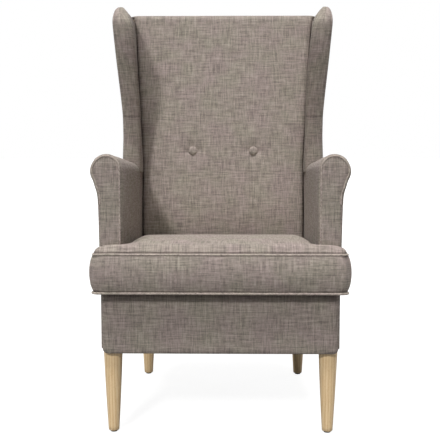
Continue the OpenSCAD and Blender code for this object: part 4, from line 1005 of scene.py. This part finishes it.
def lay_weave(piece):
    """Weave of the case: x and y on faces that look up or down, the length round and z on the walls."""
    mesh = piece.data
    places = coordinates(piece)
    starts, counts = read(mesh.polygons, "loop_start"), read(mesh.polygons, "loop_total")
    corner_face = np.repeat(np.arange(len(starts)), counts)
    corner_place = read(mesh.loops, "vertex_index")
    wall_index, wall_gap = nearest(places * (1, 1, 0), np.column_stack([rim, 0 * rim[:, 0]]))
    above = places[:, 2] - (deck_z(places[:, 1]) + seat_gap)
    face_above, face_gap = (np.bincount(corner_face, values[corner_place]) / counts
                            for values in (above, wall_gap))
    wall = (face_above > 0.0015) & (face_above < 0.0975) & (face_gap < 0.014)
    flat = places[corner_place][:, :2]
    along = rim_along[wall_index]
    upright = np.column_stack([along[corner_place], places[corner_place][:, 2]])
    jump = upright[:, 0] - along[corner_place[starts]][corner_face]
    upright[:, 0] -= np.round(jump / rim_along[-1]) * rim_along[-1]
    chosen = np.where(wall[corner_face][:, None], upright, flat)
    layer = mesh.uv_layers.new(name="weave") if "weave" not in mesh.uv_layers else mesh.uv_layers["weave"]
    layer.data.foreach_set("uv", chosen.ravel().astype("f"))
    mesh.polygons.foreach_set("use_smooth", np.ones(len(starts), bool))
    # Painted shade along the seams: dark just above the top piping and all round the bottom piping, fading
    # within a few millimetres.
    index, gap = nearest(places, seams)
    over_seam = ease((places[:, 2] - seams[index, 2]) / 0.002 + 0.5)
    upper = index >= len(rim)
    deep = np.where(upper, 0.95 * over_seam, 0.75)
    full = np.where(upper, 0.0025, 0.0065)
    set_painted_shade(piece, deep * np.clip(1 - (gap - full) / 0.0030, 0, 1))


lay_weave(cushion)
finished(cushion, linen,
         ("cushion_core", "cushion_top_panel", "cushion_boxing", "cushion_bottom_panel"), "seat_cushion")


# Zip: black tape sewn into the rear boxing, a nylon coil along its middle and a plated slider. It lets
# the core out of its case.
zip_y, zip_z = 0.1851, 0.4005
x = np.linspace(-0.225, 0.225, 80)[None]
v = np.linspace(-0.013, 0.013, 9)[:, None]
tape = lay_grid("zip_tape_cloth", together(x, zip_y, zip_z + v), together(x, v),
                outward=(0, -5, 0), thickness=0.0008)
finished(tape, lining, ("zip_tape",), "seat_cushion")
turns = np.linspace(0, 1, 1400)
angle = 2 * math.pi * 230 * turns
coil_path = together(-0.222 + 0.444 * turns, zip_y + 0.0010 + 0.0007 * np.cos(angle),
                     zip_z + 0.0026 * np.sin(angle))
ring, weave = tube(coil_path, 0.00038, 5, flat_to=(1, 0, 0))
coil = lay_grid("zip_coil", ring, weave, around=True, capped=True)
finished(coil, nylon.material, body="seat_cushion")
dress(plated("slider_metal", (0.55, 0.54, 0.53), 0.2), "zip_slider")


# Studio: a pale floor that keeps the chair's soft shadow and runs out into a white surround. A key from
# the upper left of the camera throws the wing's shadow on the back, under a broad light from above, and
# two low lights from behind keep the sides and the rear of the chair from going dark.
paper = Finish("paper_floor", Base_Color=(0.24, 0.24, 0.24), Roughness=0.9, Emission_Color=(1, 1, 1))
speck = paper.noise(paper.inside(), (30.0, 30.0, 30.0), 3)
paper.raise_up(speck, 0.0002, 0.1)
lift = paper.add("Math", {0: paper.add("LightPath", {}, "Is Camera Ray"), 1: 0.90}, operation="MULTIPLY")
paper.put(paper.shader, "Emission Strength", lift)
x, y = np.meshgrid(np.linspace(-40, 40, 9), np.linspace(-40, 60, 11), indexing="ij")
floor = lay_grid("floor", together(x, y, 0), together(x, y), outward=(0, 0, -10))
floor.data.materials.append(paper.material)

world = bpy.data.worlds.new("studio")
world.use_nodes = True
bpy.context.scene.world = world
nodes, links = world.node_tree.nodes, world.node_tree.links
rays = nodes.new("ShaderNodeLightPath").outputs
seen = rays["Is Camera Ray"]
for kind in ("Is Glossy Ray", "Is Transmission Ray"):
    larger = nodes.new("ShaderNodeMath")
    larger.operation = "MAXIMUM"
    links.new(seen, larger.inputs[0])
    links.new(rays[kind], larger.inputs[1])
    seen = larger.outputs[0]
strength = nodes.new("ShaderNodeMapRange")
links.new(seen, strength.inputs["Value"])
strength.inputs["To Min"].default_value = 0.08
strength.inputs["To Max"].default_value = 1.0
links.new(strength.outputs[0], nodes["Background"].inputs["Strength"])
nodes["Background"].inputs["Color"].default_value = (1, 1, 1, 1)


def soft_sun(name, azimuth, elevation, wide, power):
    """Even light from an azimuth, in degrees to the right of the camera's side, and an elevation."""
    lamp = bpy.data.objects.new(name, bpy.data.lights.new(name, "SUN"))
    lamp.data.angle = math.radians(wide)
    lamp.data.energy = power
    lamp.rotation_euler = (math.radians(90 - elevation), 0, math.radians(azimuth))
    bpy.context.scene.collection.objects.link(lamp)


soft_sun("key", -16.5, 32, 7, 1.42)
soft_sun("above", -8, 79, 28, 3.3)
soft_sun("behind_left", -125, 6, 25, 0.9)
soft_sun("behind_right", 125, 6, 25, 0.9)

bpy.context.scene.view_settings.view_transform = "Standard"
